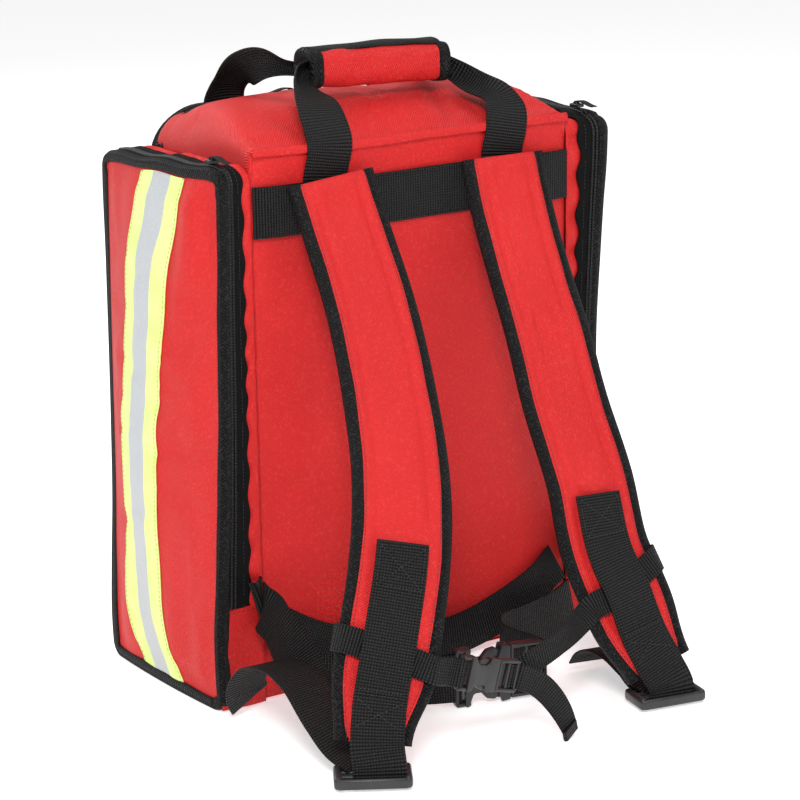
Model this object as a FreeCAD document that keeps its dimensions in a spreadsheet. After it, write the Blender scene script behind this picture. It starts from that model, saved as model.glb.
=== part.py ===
"""Trauma backpack: zipped main bag, two zipped side pockets, shoulder, sternum and waist straps, top handle.

Frame: +X to the wearer's right hand side of the harness panel, -Y out of the harness panel, +Z up,
origin on the floor under the middle of the main bag. Millimetres.
"""
import FreeCAD, Part
import math
import os

import Sketcher

V = FreeCAD.Vector
doc = FreeCAD.newDocument("trauma_backpack")

# ---------------------------------------------------------------- driving dimensions
DIMENSIONS = {
    "half_width": 149,      # main bag, middle to side wall
    "back": 75,             # middle to harness panel face
    "zip_line": 71,         # middle to the main zip, towards the front
    "lid_front": 103,       # middle to the front face of the lid
    "bag_top": 440,         # top edge of the harness panel
    "dome_top": 459,        # highest line of the padded top
    "panel": 8,             # padded harness panel
    "cloth": 3,             # lined cloth wall
    "thin": 1.5,            # zip tape, binding, tape
    "pocket_front": 95,     # middle to the pocket's front edge
    "pocket_out": 189,      # middle to the pocket's side panel face
    "pocket_top": 438,
    "gusset_out": 158.5,    # outer edge of the pocket gusset
    "zip_out": 166,         # outer edge of the fixed zip half
    "zip_end": 84,          # height where the pocket zip ends and the flap folds
    "binding": 12.5,        # bound edge, face width
    "hi_vis": 58,           # high-visibility tape width
    "hi_vis_mid": 10,       # its centre line, from the middle of the bag
    "gap": 0.4,             # clearance between moving pieces
    "webbing": 40,
    "webbing_thick": 1.6,
    "adjuster": 34,         # adjuster webbing width
    "lower_band": 36,       # width of the band across the foot of the harness panel
    "handle_webbing": 18,   # handle webbing, folded double lengthwise
    "chest_webbing": 20,
    "chest_thick": 1.4,
    "band_top": 414,
    "pad_width": 76,
    "pad_edge": 8,          # bound edge of the shoulder pad
    "pad_thick": 12,
    "tab_low": 58,          # seam tabs, lower and upper ends
    "tab_high": 104,
    "lock_width": 58,
    "lock_length": 32,
    "lock_thick": 10,
    "lock_slot": 5,
    "lock_pitch": 9.5,      # distance between the lock's slots
    "grip_length": 130,
    "grip_deep": 28,
    "grip_tall": 30,
    "grip_y": -19,
    "grip_z": 489,
    "grip_wall": 5,
    "flap_half": 9,         # half the width of the grip's closing flap
}
SLIDER = {"length": 12, "width": 8, "height": 3.2, "bridge": 8, "bridge_width": 2.4, "bridge_height": 2,
          "tab": 26, "tab_width": 6, "tab_height": 1.4}
BUCKLE = {"wall": 2.2, "skin": 1.6, "slot": 4, "slot_inset": 3, "slot_room": 0.8, "slack": 0.5, "reach": 0.12,
          "arm": 3.8, "arm_inset": 2.7}
sheet = doc.addObject("Spreadsheet::Sheet", "dims")
for row, (alias, value) in enumerate(DIMENSIONS.items(), start=1):
    sheet.set("A%d" % row, alias)
    sheet.set("B%d" % row, str(value))
    sheet.setAlias("B%d" % row, alias)
doc.recompute()

nodes = []


def dim(alias):
    """A driving dimension, read from the sheet."""
    return float(sheet.get(alias))


def as_node(obj, label):
    """Names a sub-part; its label is its file's name."""
    obj.Label = label
    nodes.append(obj)
    return obj


# ---------------------------------------------------------------- builders
def bound(rule):
    """Writes the sheet's name before each alias in a rule such as 'half_width - cloth'."""
    words = rule.replace("(", "( ").replace(")", " )").split()
    return " ".join("dims." + word if word in DIMENSIONS else word for word in words)


def block(name, low, high):
    """A box between two corners, each given as three rules."""
    box = doc.addObject("Part::Box", name)
    for prop, axis, a, b in zip(("Length", "Width", "Height"), "xyz", low, high):
        box.setExpression(prop, bound("( %s ) - ( %s )" % (b, a)))
        box.setExpression("Placement.Base." + axis, bound(a))
    return box


def side_block(name, side, low, high):
    """A box beside the bag: its x rules are distances from the middle, on the side given (-1 or 1)."""
    if side > 0:
        return block(name, low, high)
    return block(name, ["0 - ( %s )" % high[0]] + low[1:], ["0 - ( %s )" % low[0]] + high[1:])


def group(label, members):
    """Several solids of one sewn piece, as one node."""
    made = doc.addObject("Part::Compound", label)
    made.Links = members
    return as_node(made, label)


def cut(name, base, tool):
    made = doc.addObject("Part::Cut", name)
    made.Base = base
    made.Tool = tool
    return made


def fused(name, members):
    made = doc.addObject("Part::MultiFuse", name)
    made.Shapes = members
    return made


def origin_plane(body, role):
    return next(f for f in body.Origin.OriginFeatures if f.Role == role)


def rectangle(sketch, width, height, centre=(0, 0)):
    """A centred rectangle whose sides follow the rules given."""
    first = sketch.GeometryCount
    half_w, half_h = 10, 5      # starting guess; the rules below set the real size
    cx, cy = centre
    corners = [V(cx - half_w, cy - half_h), V(cx + half_w, cy - half_h),
               V(cx + half_w, cy + half_h), V(cx - half_w, cy + half_h)]
    for i in range(4):
        sketch.addGeometry(Part.LineSegment(corners[i], corners[(i + 1) % 4]), False)
    for i in range(4):
        sketch.addConstraint(Sketcher.Constraint("Coincident", first + i, 2, first + (i + 1) % 4, 1))
    for i in (0, 2):
        sketch.addConstraint(Sketcher.Constraint("Horizontal", first + i))
        sketch.addConstraint(Sketcher.Constraint("Vertical", first + i + 1))
    limits = (("DistanceX", 0, width), ("DistanceY", 1, height))
    for kind, edge, rule in limits:
        index = sketch.addConstraint(Sketcher.Constraint(kind, first + edge, 1, first + edge, 2, 20))
        sketch.setExpression("Constraints[%d]" % index, bound(rule))
    left = "%s - ( %s ) / 2" % (cx, width)
    low = "%s - ( %s ) / 2" % (cy, height)
    for kind, rule in (("DistanceX", left), ("DistanceY", low)):
        index = sketch.addConstraint(Sketcher.Constraint(kind, -1, 1, first, 1, -5))
        sketch.setExpression("Constraints[%d]" % index, bound(rule))


def sketch_on(body, name, role="XY_Plane"):
    sketch = body.newObject("Sketcher::SketchObject", name)
    sketch.AttachmentSupport = [(origin_plane(body, role), "")]
    sketch.MapMode = "FlatFace"
    return sketch


def pad(body, sketch, length, midplane=True):
    made = body.newObject("PartDesign::Pad", sketch.Name + "_pad")
    made.Profile = sketch
    made.setExpression("Length", bound(length))
    made.Midplane = midplane
    body.Tip = made
    return made


def ribbon_shape(points, widths, width, thickness, shift=0.0):
    """A flat strap lofted along its centre points; widths holds the direction across it at each point."""
    sections = []
    count = len(points)
    for i, (point, across) in enumerate(zip(points, widths)):
        ahead = points[min(i + 1, count - 1)] - points[max(i - 1, 0)]
        ahead.normalize()
        across = across - ahead * across.dot(ahead)
        across.normalize()
        normal = ahead.cross(across)
        middle = point + across * shift
        corners = [middle + across * (a * width / 2) + normal * (b * thickness / 2)
                   for a, b in ((-1, -1), (1, -1), (1, 1), (-1, 1))]
        sections.append(Part.makePolygon(corners + corners[:1]))
    return Part.makeLoft(sections, True, True)


def soft(label, shape):
    """A sewn piece whose lofted shape no primitive gives."""
    made = doc.addObject("Part::Feature", label)
    made.Shape = shape
    return as_node(made, label)


def vectors(rows):
    return [V(*row) for row in rows]


def yaw(degrees):
    """A level direction, turned about Z from +X."""
    angle = math.radians(degrees)
    return V(math.cos(angle), math.sin(angle), 0)


# ---------------------------------------------------------------- main bag
def main_bag():
    inner_y = "0 - back + panel"
    as_node(block("back_panel", ["0 - half_width", "0 - back", "2"],
                  ["half_width", inner_y, "bag_top"]), "back_panel")
    as_node(block("base_panel", ["0 - half_width", inner_y, "0"],
                  ["half_width", "lid_front", "cloth"]), "base_panel")
    for side, name in ((-1, "left_wall"), (1, "right_wall")):
        as_node(side_block(name, side, ["half_width - cloth", inner_y, "cloth"],
                           ["half_width", "pocket_front", "bag_top - cloth"]), name)
    top_panel()
    bands()


def top_panel():
    """The padded top: a shallow dome from the harness panel to the main zip, one profile across the bag."""
    body = doc.addObject("PartDesign::Body", "top_panel")
    sketch = sketch_on(body, "top_profile", "YZ_Plane")
    back, zip_line = -dim("back") + dim("panel"), dim("zip_line") - 5
    low, dome = dim("bag_top"), dim("dome_top")
    top = [V(back, low), V(back + 45, dome - 5), V(zip_line - 25, dome), V(zip_line, dome - 4)]
    bottom = [p - V(0, dim("cloth")) for p in reversed(top)]
    outline = top + bottom
    for i, start in enumerate(outline):
        sketch.addGeometry(Part.LineSegment(start, outline[(i + 1) % len(outline)]), False)
    for i in range(len(outline)):
        sketch.addConstraint(Sketcher.Constraint("Coincident", i, 2, (i + 1) % len(outline), 1))
        sketch.addConstraint(Sketcher.Constraint("Block", i))
    pad(body, sketch, "2 * half_width - 2 * cloth")
    as_node(body, "top_panel")


def bands():
    """Webbing across the harness panel: one under the strap tops, one sagging across its foot."""
    as_node(block("top_band", ["0 - half_width", "0 - back - webbing_thick", "band_top - webbing"],
                  ["half_width", "0 - back", "band_top"]), "top_band")
    face = -dim("back") - 7
    line = vectors([(-138, face + 4, 62), (-112, face, 48), (-70, face - 1, 33), (-20, face - 2, 25),
                    (30, face - 2, 26), (75, face - 1, 37), (112, face, 51), (138, face + 4, 63)])
    upright = [V(0, 0, 1)] * len(line)
    soft("lower_band", ribbon_shape(line, upright, dim("lower_band"), dim("webbing_thick")))


# ---------------------------------------------------------------- front lid
def front_lid():
    """Shallow tray hinged along its foot, open towards the bag."""
    body = doc.addObject("PartDesign::Body", "front_lid")
    sketch = sketch_on(body, "lid_outline", "XZ_Plane")
    rectangle(sketch, "2 * ( half_width - 2 * cloth - 1 )", "dome_top - 4 * cloth")
    pad(body, sketch, "lid_front - zip_line - 1", midplane=False)
    inside = sketch_on(body, "lid_inside", "XZ_Plane")
    rectangle(inside, "2 * ( half_width - 3 * cloth - 1 )", "dome_top - 6 * cloth")
    hollow = body.newObject("PartDesign::Pocket", "lid_hollow")
    hollow.Profile = inside
    hollow.setExpression("Length", bound("lid_front - zip_line - 1 - cloth"))
    hollow.Reversed = True
    body.Tip = hollow
    foot = 2 * dim("cloth") + (dim("dome_top") - 4 * dim("cloth")) / 2
    body.Placement = FreeCAD.Placement(V(0, dim("zip_line") + 1, foot), FreeCAD.Rotation(V(0, 0, 1), 180))
    as_node(body, "front_lid")
    lid_zip()


def zip_run(prefix, inner, outer, near, far, foot, top):
    """Three strips, up one side, across the top and down the other."""
    sides = [side_block("%s_%s" % (prefix, word), side, [inner, near, foot], [outer, far, top])
             for side, word in ((-1, "left"), (1, "right"))]
    across = block(prefix + "_top", ["0 - ( %s )" % inner, near, "%s - thin" % top],
                   [inner, far, top])
    return sides + [across]


def lid_zip():
    group("main_zip_fixed", zip_run("zip_fixed", "half_width - cloth - thin", "half_width - cloth",
                                    "zip_line - 5", "zip_line", "20", "bag_top - cloth")[:2]
          + [block("zip_fixed_across", ["0 - half_width + cloth", "zip_line - 5", "dome_top - cloth - 4"],
                   ["half_width - cloth", "zip_line", "dome_top - 4"])])
    group("main_zip_lid", zip_run("zip_lid", "half_width - 2 * cloth - 1", "half_width - 2 * cloth",
                                  "zip_line + 1", "zip_line + 9", "20", "dome_top - 2 * cloth + thin"))
    for side, name in ((-1, "main_slider_left"), (1, "main_slider_right")):
        slider(name, V(side * 22, dim("zip_line") + 3, dim("dome_top") - 1), V(side, 0, 0), V(0, 0, 1))


def slider(label, centre, along, outward):
    """A zip slider: body, bridge and pull tab, built along +X and turned into place."""
    def bar(word, length, width, height, start, foot):
        box = doc.addObject("Part::Box", "%s_%s" % (label, word))
        box.Length, box.Width, box.Height = length, width, height
        box.Placement.Base = V(start, -width / 2, foot)
        return box

    size = SLIDER
    roof = size["height"] / 2
    shell = bar("shell", size["length"], size["width"], size["height"], -size["length"] / 2, -roof)
    bridge = bar("bridge", size["bridge"], size["bridge_width"], size["bridge_height"], -size["bridge"] / 2, roof)
    tab = bar("tab", size["tab"], size["tab_width"], size["tab_height"], -size["tab_width"] / 2,
              roof + size["bridge_height"])
    made = fused(label, [shell, bridge, tab])
    across = outward.cross(along)
    turn = FreeCAD.Rotation(along, across, outward, "ZXY")
    made.Placement = FreeCAD.Placement(centre, turn)
    as_node(made, label)


# ---------------------------------------------------------------- side pockets
def pocket(side, word):
    back, front = "0 - back", "pocket_front"
    inner_back, inner_front = "0 - back + thin", "pocket_front - thin"
    panel_in = "pocket_out - cloth"

    def piece(name, low, high):
        return side_block("%s_%s" % (word, name), side, low, high)

    def rim(name, inner, outer, foot, top):
        """Strips of cloth up the back, over the top and down the front of the pocket's mouth."""
        return [piece(name + "_rim_back", [inner, back, foot], [outer, inner_back, top]),
                piece(name + "_rim_front", [inner, inner_front, foot], [outer, front, top]),
                piece(name + "_rim_top", [inner, inner_back, "%s - thin" % top], [outer, inner_front, top])]

    group(word + "_pocket_gusset",
          rim("gusset", "half_width", "gusset_out", "zip_end", "pocket_top")
          + [piece("gusset_low_back", ["half_width", back, "thin"], [panel_in, inner_back, "zip_end"]),
             piece("gusset_low_front", ["half_width", inner_front, "thin"], [panel_in, front, "zip_end"]),
             piece("gusset_base", ["half_width", back, "0"], [panel_in, front, "thin"])])
    group(word + "_pocket_zip", rim("zip", "gusset_out", "zip_out", "zip_end", "pocket_top"))

    as_node(piece("side_lower", [panel_in, back, "thin"], ["pocket_out", front, "zip_end"]),
            word + "_side_lower")
    as_node(piece("side_flap", [panel_in, inner_back, "zip_end + gap"],
                  ["pocket_out", inner_front, "pocket_top - thin"]), word + "_side_flap")

    outer = "pocket_out + thin"
    low_top = "zip_end"
    group(word + "_binding_lower",
          [piece("bind_low_back", ["pocket_out", back, "thin"], [outer, back + " + binding", low_top]),
           piece("bind_low_front", ["pocket_out", front + " - binding", "thin"], [outer, front, low_top]),
           piece("bind_low_foot", ["pocket_out", back + " + binding", "thin"],
                 [outer, front + " - binding", "binding"])])
    flap_foot = "zip_end + gap"
    group(word + "_binding_flap",
          rim("bind_edge", "zip_out + gap", "pocket_out", flap_foot, "pocket_top")
          + [piece("bind_back", ["pocket_out", back, flap_foot], [outer, back + " + binding", "pocket_top"]),
             piece("bind_front", ["pocket_out", front + " - binding", flap_foot],
                   [outer, front, "pocket_top"]),
             piece("bind_top", ["pocket_out", back + " + binding", "pocket_top - binding"],
                   [outer, front + " - binding", "pocket_top"])])
    tape_low, tape_high = "hi_vis_mid - hi_vis / 2", "hi_vis_mid + hi_vis / 2"
    as_node(piece("tape_lower", ["pocket_out", tape_low, "binding"], [outer, tape_high, "zip_end"]),
            word + "_tape_lower")
    as_node(piece("tape_flap", ["pocket_out", tape_low, flap_foot], [outer, tape_high, "pocket_top - binding"]),
            word + "_tape_flap")
    middle = side * (dim("zip_out") + 2)
    slider(word + "_slider", V(middle, -45, dim("pocket_top") + 2.2), V(0, -1, 0), V(0, 0, 1))


def seam_tabs():
    """Webbing tabs folded into the two side seams, from which the adjuster webbings leave."""
    group("seam_tabs", [side_block("seam_tab_%d" % (side + 1), side,
                                   ["half_width + thin", "0 - back - 5", "tab_low"],
                                   ["half_width + 8", "0 - back - gap", "tab_high"]) for side in (-1, 1)])


# ---------------------------------------------------------------- shoulder straps
LEFT_LINE = [(-84, -85, 416), (-80, -100, 378), (-76, -128, 318), (-82, -161, 256), (-93, -190, 205),
             (-106, -210, 172), (-120, -225, 138), (-132, -235, 112), (-146, -245, 80), (-158, -254, 52),
             (-165, -260, 30)]
RIGHT_LINE = [(78, -85, 416), (78, -97, 380), (78, -125, 321), (79, -142, 287), (79, -167, 231),
              (82, -195, 173), (81, -218, 118), (88, -232, 86), (95, -246, 52), (102, -256, 28)]
LEFT_YAWS = (0, 0, -3, -7, -12, -17, -22, -26, -29, -31, -31)
RIGHT_YAWS = (0, 0, 0, -2, -4, -6, -8, -9, -11, -11)
WEBBING_FROM = 165
CHEST_HEIGHT = 92


class Strap:
    """The centre surface of one shoulder strap: points, and the direction across it at each."""

    def __init__(self, line, yaws):
        self.points = vectors(line)
        self.across = [yaw(a) for a in yaws]

    def at(self, height):
        """Centre point, direction across, and outward normal at a height."""
        for i in range(len(self.points) - 1):
            above, below = self.points[i], self.points[i + 1]
            if below.z <= height <= above.z:
                part = (above.z - height) / (above.z - below.z)
                point = above + (below - above) * part
                ahead = below - above
                ahead.normalize()
                across = self.across[i] + (self.across[i + 1] - self.across[i]) * part
                across = across - ahead * across.dot(ahead)
                across.normalize()
                return point, across, ahead.cross(across)
        raise ValueError(height)

    def outside(self, height, sideways, lift):
        """A point off the strap's outer face."""
        point, across, normal = self.at(height)
        return point + across * sideways + normal * (dim("pad_thick") / 2 + lift)


STRAPS = {"left": Strap(LEFT_LINE, LEFT_YAWS), "right": Strap(RIGHT_LINE, RIGHT_YAWS)}
LOCK_PLACES = {"left": (V(-170, -263, 6.2), -31), "right": (V(107, -261, 6.2), -11)}


def shoulder_strap(word):
    strap = STRAPS[word]
    edge = dim("pad_edge")
    inner = dim("pad_width") - 2 * edge
    soft(word + "_shoulder_pad", ribbon_shape(strap.points, strap.across, inner, dim("pad_thick")))
    rims = [ribbon_shape(strap.points, strap.across, edge - 0.2, dim("pad_thick") - 3,
                         shift=s * (inner / 2 + edge / 2 + 0.1)) for s in (-1, 1)]
    soft(word + "_shoulder_binding", Part.makeCompound(rims))
    heights = [WEBBING_FROM] + [p.z for p in strap.points if p.z < WEBBING_FROM - 5]
    heights[-1] += 0.01
    run = [strap.outside(z, 0, 4) for z in heights]
    last = run[-1]
    centre, turn = LOCK_PLACES[word]
    run.append(V(centre.x, centre.y - 2, dim("lock_thick") + 5.5) * 0.7 + last * 0.3)
    across = [strap.at(z)[1] for z in heights]
    across.append(yaw(turn))
    soft(word + "_strap_webbing", ribbon_shape(run, across, dim("webbing"), dim("webbing_thick")))
    ladder_lock(word, centre, turn)


def ladder_lock(word, centre, turn):
    """Moulded frame with three slots that grips the adjuster webbing."""
    body = doc.addObject("PartDesign::Body", word + "_ladder_lock")
    sketch = sketch_on(body, word + "_lock_outline")
    rectangle(sketch, "lock_width", "lock_length")
    for offset in (-dim("lock_pitch"), 0, dim("lock_pitch")):
        rectangle(sketch, "webbing + 3", "lock_slot", centre=(0, offset))
    pad(body, sketch, "lock_thick")
    doc.recompute()
    body.Placement = FreeCAD.Placement(centre, FreeCAD.Rotation(V(0, 0, 1), turn))
    as_node(body, word + "_ladder_lock")


def adjusters():
    """Webbing from each seam tab to its ladder lock, and the tail beyond the lock."""
    wide, thick = dim("adjuster"), dim("webbing_thick")
    up, level = V(0, 0, 1), yaw(-31)
    line = vectors([(-158, -85, 82), (-152, -103, 72), (-147, -127, 62), (-152, -160, 42),
                    (-157, -190, 24), (-161, -216, 12), (-163, -240, 7)])
    turned = [up, up * 0.9 + level * 0.3, up * 0.7 + level * 0.7, up * 0.3 + level * 0.9, level, level, level]
    soft("left_adjuster", ribbon_shape(line, turned, wide, thick))
    line = vectors([(-172, -238, 17), (-175, -205, 34), (-174, -170, 50), (-176, -140, 56),
                    (-184, -116, 48), (-187, -103, 30), (-180, -93, 6)])
    turned = [level] * 2 + [yaw(-20), yaw(-10), yaw(0), yaw(5), yaw(8)]
    soft("left_adjuster_tail", ribbon_shape(line, turned, wide, thick))

    level = yaw(-11)
    line = vectors([(158, -85, 82), (155, -105, 72), (148, -135, 58), (137, -165, 40),
                    (124, -195, 24), (114, -220, 12), (109, -242, 7)])
    turned = [up, up * 0.9 - level * 0.3, up * 0.7 - level * 0.7, up * 0.3 - level * 0.9] + [level * -1] * 3
    soft("right_adjuster", ribbon_shape(line, turned, wide, thick))
    line = vectors([(104, -240, 16), (96, -215, 27), (88, -192, 27), (86, -176, 17), (86, -168, 4)])
    soft("right_adjuster_tail", ribbon_shape(line, [level] * 5, wide, thick))


# ---------------------------------------------------------------- buckles
def buckle(prefix, centre, turn, length, height, thick, webbing):
    """Side-release buckle along local +X: female housing, male base with guide, two squeeze arms."""
    place = FreeCAD.Placement(centre, turn)
    half_h, half_t = height / 2.0, thick / 2.0
    mouth = length * BUCKLE["reach"]
    wall, skin, slack, slot = BUCKLE["wall"], BUCKLE["skin"], BUCKLE["slack"], BUCKLE["slot"]
    slot_half = webbing / 2 + BUCKLE["slot_room"]
    through = half_t + 1

    def local(name, low, high):
        box = doc.addObject("Part::Box", "%s_%s" % (prefix, name))
        box.Length, box.Width, box.Height = [b - a for a, b in zip(low, high)]
        box.Placement = place.multiply(FreeCAD.Placement(V(*low), FreeCAD.Rotation()))
        return box

    def slot_at(name, start):
        return local(name, (start, -slot_half, -through), (start + slot, slot_half, through))

    housing = local("housing", (-length / 2, -half_h, -half_t), (mouth, half_h, half_t))
    cavity = local("cavity", (-length * 0.28, -half_h + wall, -half_t + skin),
                   (mouth + 1, half_h - wall, half_t - skin))
    window = local("window", (-length * 0.2, -half_h - 1, -half_t + skin),
                   (-length * 0.02, half_h + 1, half_t - skin))
    tools = doc.addObject("Part::Compound", prefix + "_female_tools")
    tools.Links = [cavity, window, slot_at("slot", -length / 2 + BUCKLE["slot_inset"])]
    as_node(cut(prefix + "_buckle_female", housing, tools), prefix + "_buckle_female")

    base_in = mouth + dim("gap")
    base = local("base", (base_in, -half_h * 0.96, -half_t), (length / 2, half_h * 0.96, half_t))
    guide = local("guide", (-length * 0.24, -wall, -half_t + skin + slack),
                  (base_in + 2, wall, half_t - skin - slack))
    male = fused(prefix + "_male_blank", [base, guide])
    tools = doc.addObject("Part::Compound", prefix + "_male_tools")
    tools.Links = [slot_at("male_slot_%d" % i, start)
                   for i, start in enumerate((base_in + 3.5, length / 2 - slot - 2.5))]
    as_node(cut(prefix + "_buckle_male", male, tools), prefix + "_buckle_male")

    for side, word in ((-1, "lower"), (1, "upper")):
        outer = half_h - BUCKLE["arm_inset"]
        near, far = sorted((side * (outer - BUCKLE["arm"]), side * outer))
        arm = local("arm_" + word, (-length * 0.18, near, -half_t + skin + slack),
                    (base_in - 0.3, far, half_t - skin - slack))
        as_node(arm, "%s_arm_%s" % (prefix, word))


def facing(along, up):
    """A rotation whose local X runs along a strap and whose local Y is across it."""
    along.normalize()
    up = up - along * up.dot(along)
    up.normalize()
    return FreeCAD.Rotation(along, up, along.cross(up), "XYZ")


CHEST_CENTRE = V(-67, -264, 63.5)
CHEST_ALONG = V(1, 0, -0.27)
CHEST_BUCKLE = (54.0, 27.0, 9.0)    # length, height, thickness
WAIST_CENTRE = V(2, -181, 24.5)
WAIST_ALONG = V(1, -0.22, 0)
WAIST_BUCKLE = (74.0, 48.0, 11.0)


def chest_strap():
    """Sternum strap: left half with the female buckle, right half with the male buckle and its tail."""
    wide, thick = dim("chest_webbing"), dim("chest_thick")
    up = V(0, 0, 1)
    buckle("chest", CHEST_CENTRE, facing(V(CHEST_ALONG), up), *CHEST_BUCKLE, wide)
    along = V(CHEST_ALONG)
    along.normalize()
    reach = CHEST_BUCKLE[0] / 2 + 7     # the webbing stops clear of the buckle
    left, right = STRAPS["left"], STRAPS["right"]
    line = [left.outside(CHEST_HEIGHT + 4, -40, 1.4), left.outside(CHEST_HEIGHT, 0, 1.4),
            left.outside(CHEST_HEIGHT - 6, 40, 1.4), CHEST_CENTRE - along * reach]
    across = [left.at(CHEST_HEIGHT)[1].cross(left.at(CHEST_HEIGHT)[2])] * 3 + [up]
    across = [a if a.z > 0 else a * -1 for a in across]
    soft("chest_webbing_left", ribbon_shape(line, across, wide, thick))
    line = [CHEST_CENTRE + along * reach, V(8, -256, 71), right.outside(CHEST_HEIGHT - 6, -40, 1.4),
            right.outside(CHEST_HEIGHT, 0, 1.4), right.outside(CHEST_HEIGHT + 6, 42, 1.4)]
    across = [up, up] + [right.at(CHEST_HEIGHT)[1].cross(right.at(CHEST_HEIGHT)[2])] * 3
    across = [a if a.z > 0 else a * -1 for a in across]
    soft("chest_webbing_right", ribbon_shape(line, across, wide, thick))
    line = vectors([(-37, -268, 53.5), (-24, -269, 45), (-11, -271, 34), (-4, -274, 22), (0, -276, 10)])
    across = [up, V(0.3, 0, 1), V(0.7, 0, 0.8), V(1, 0, 0.4), V(1, 0, 0.2)]
    soft("chest_tail", ribbon_shape(line, across, wide - 2, thick))


def waist_belt():
    """Waist belt standing on edge on the floor, with its own larger buckle."""
    wide, thick = dim("webbing"), dim("webbing_thick")
    up = V(0, 0, 1)
    buckle("waist", WAIST_CENTRE, facing(V(WAIST_ALONG), up), *WAIST_BUCKLE, wide)
    along = V(WAIST_ALONG)
    along.normalize()
    half = WAIST_BUCKLE[0] / 2
    mid = wide / 2 + 0.6
    left_end = WAIST_CENTRE - along * (half + 1)
    line = [V(-118, -92, mid), V(-95, -118, mid), V(-66, -146, mid), V(left_end.x, left_end.y, mid + 1)]
    soft("waist_webbing_left", ribbon_shape(line, [up] * 4, wide, thick))
    right_end = WAIST_CENTRE + along * (half + 1.5)
    line = [V(right_end.x, right_end.y, mid + 1), V(50, -178, mid), V(46, -155, mid), V(45, -130, mid),
            V(56, -111, mid), V(90, -101, mid), V(130, -93, mid + 4), V(146, -90, mid + 10)]
    soft("waist_webbing_right", ribbon_shape(line, [up] * 8, wide, thick))


# ---------------------------------------------------------------- carrying handle
def handle():
    """Two webbing loops held together by a padded grip wrap with a closing flap."""
    wide, thick = dim("handle_webbing"), dim("webbing_thick")
    y, z, half = dim("grip_y"), dim("grip_z"), dim("grip_length") / 2
    face = -dim("back") - thick / 2
    side, flat = V(1, 0, 0), V(0, 0.2, 1)
    near_half = [(-84, face, 405), (-84, face, 438), (-82, face - 3, 452), (-78, -68, 472),
                 (-72, -44, 484), (-half - 2, y - 4, z)]
    near = near_half + [(-x, b, c) for x, b, c in reversed(near_half)]
    turned = [side, side, side, V(1, 0.3, 0.2), V(0.6, 0.6, 0.6), flat]
    back_turned = [V(a.x, -a.y, -a.z) for a in reversed(turned[:-1])]
    soft("near_handle", ribbon_shape(vectors(near), turned + [V(0, -0.2, -1)] + back_turned, wide, thick))
    far_half = [(-82, 60, dim("dome_top") + 1.5), (-88, 42, 474), (-88, 22, 492), (-80, 2, 500),
                (-half - 2, y + 4, z + 1)]
    far = far_half + [(-x, b, c) for x, b, c in reversed(far_half)]
    turned = [side, side, V(1, 0.3, 0), V(0.6, 0.5, 0.6), flat]
    back_turned = [V(a.x, -a.y, -a.z) for a in reversed(turned[:-1])]
    soft("far_handle", ribbon_shape(vectors(far), turned + [V(0, -0.2, -1)] + back_turned, wide, thick))

    grip = block("grip_outer", ["0 - grip_length / 2", "grip_y - grip_deep / 2", "grip_z - grip_tall / 2"],
                 ["grip_length / 2", "grip_y + grip_deep / 2", "grip_z + grip_tall / 2"])
    wall = "( grip_wall - 1 )"
    bore = block("grip_bore",
                 ["0 - grip_length", "grip_y - grip_deep / 2 + grip_wall", "grip_z - grip_tall / 2 + " + wall],
                 ["grip_length", "grip_y + grip_deep / 2 - grip_wall", "grip_z + grip_tall / 2 - " + wall])
    as_node(cut("grip_wrap", grip, bore), "grip_wrap")
    as_node(block("grip_flap", ["0 - grip_length / 2 + 4", "grip_y - flap_half", "grip_z + grip_tall / 2 + gap"],
                  ["grip_length / 2 - 4", "grip_y + flap_half", "grip_z + grip_tall / 2 + gap + cloth"]), "grip_flap")


# ---------------------------------------------------------------- assembly and export
main_bag()
front_lid()
for side_sign, side_word in ((-1, "left"), (1, "right")):
    pocket(side_sign, side_word)
    shoulder_strap(side_word)
seam_tabs()
adjusters()
chest_strap()
waist_belt()
handle()
doc.recompute()

for obj in doc.Objects:
    if "Invalid" in obj.State or "Error" in obj.State:
        raise RuntimeError("%s failed: %s" % (obj.Name, obj.State))
for node in nodes:
    if node.Shape.isNull() or not node.Shape.isValid():
        raise RuntimeError("%s has no valid shape" % node.Label)

os.makedirs("parts", exist_ok=True)
for node in nodes:
    node.Shape.exportStep("parts/%s.step" % node.Label)
print(len(nodes), "sub-parts written")
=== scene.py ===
"""Looks of the trauma backpack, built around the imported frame. Metres; +X along the harness panel, -Y out of it."""
import math

import bmesh
import bpy
import numpy as np
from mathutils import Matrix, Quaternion, Vector


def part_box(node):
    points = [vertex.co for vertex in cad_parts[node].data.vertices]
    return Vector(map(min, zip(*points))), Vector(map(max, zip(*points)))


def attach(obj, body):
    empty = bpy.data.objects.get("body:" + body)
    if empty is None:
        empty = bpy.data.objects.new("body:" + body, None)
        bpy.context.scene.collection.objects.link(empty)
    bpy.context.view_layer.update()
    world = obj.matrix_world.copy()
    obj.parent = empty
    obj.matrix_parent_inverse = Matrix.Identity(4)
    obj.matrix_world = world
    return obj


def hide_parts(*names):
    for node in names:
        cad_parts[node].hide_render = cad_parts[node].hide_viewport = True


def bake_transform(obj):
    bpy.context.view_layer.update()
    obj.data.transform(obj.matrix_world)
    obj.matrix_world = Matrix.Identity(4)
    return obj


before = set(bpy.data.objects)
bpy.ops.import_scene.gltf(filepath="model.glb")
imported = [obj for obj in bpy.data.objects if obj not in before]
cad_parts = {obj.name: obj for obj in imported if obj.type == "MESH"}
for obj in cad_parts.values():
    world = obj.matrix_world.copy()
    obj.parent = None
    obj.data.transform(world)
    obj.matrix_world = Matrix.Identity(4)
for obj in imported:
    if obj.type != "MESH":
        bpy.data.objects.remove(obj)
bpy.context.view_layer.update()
MM = 0.001

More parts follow.
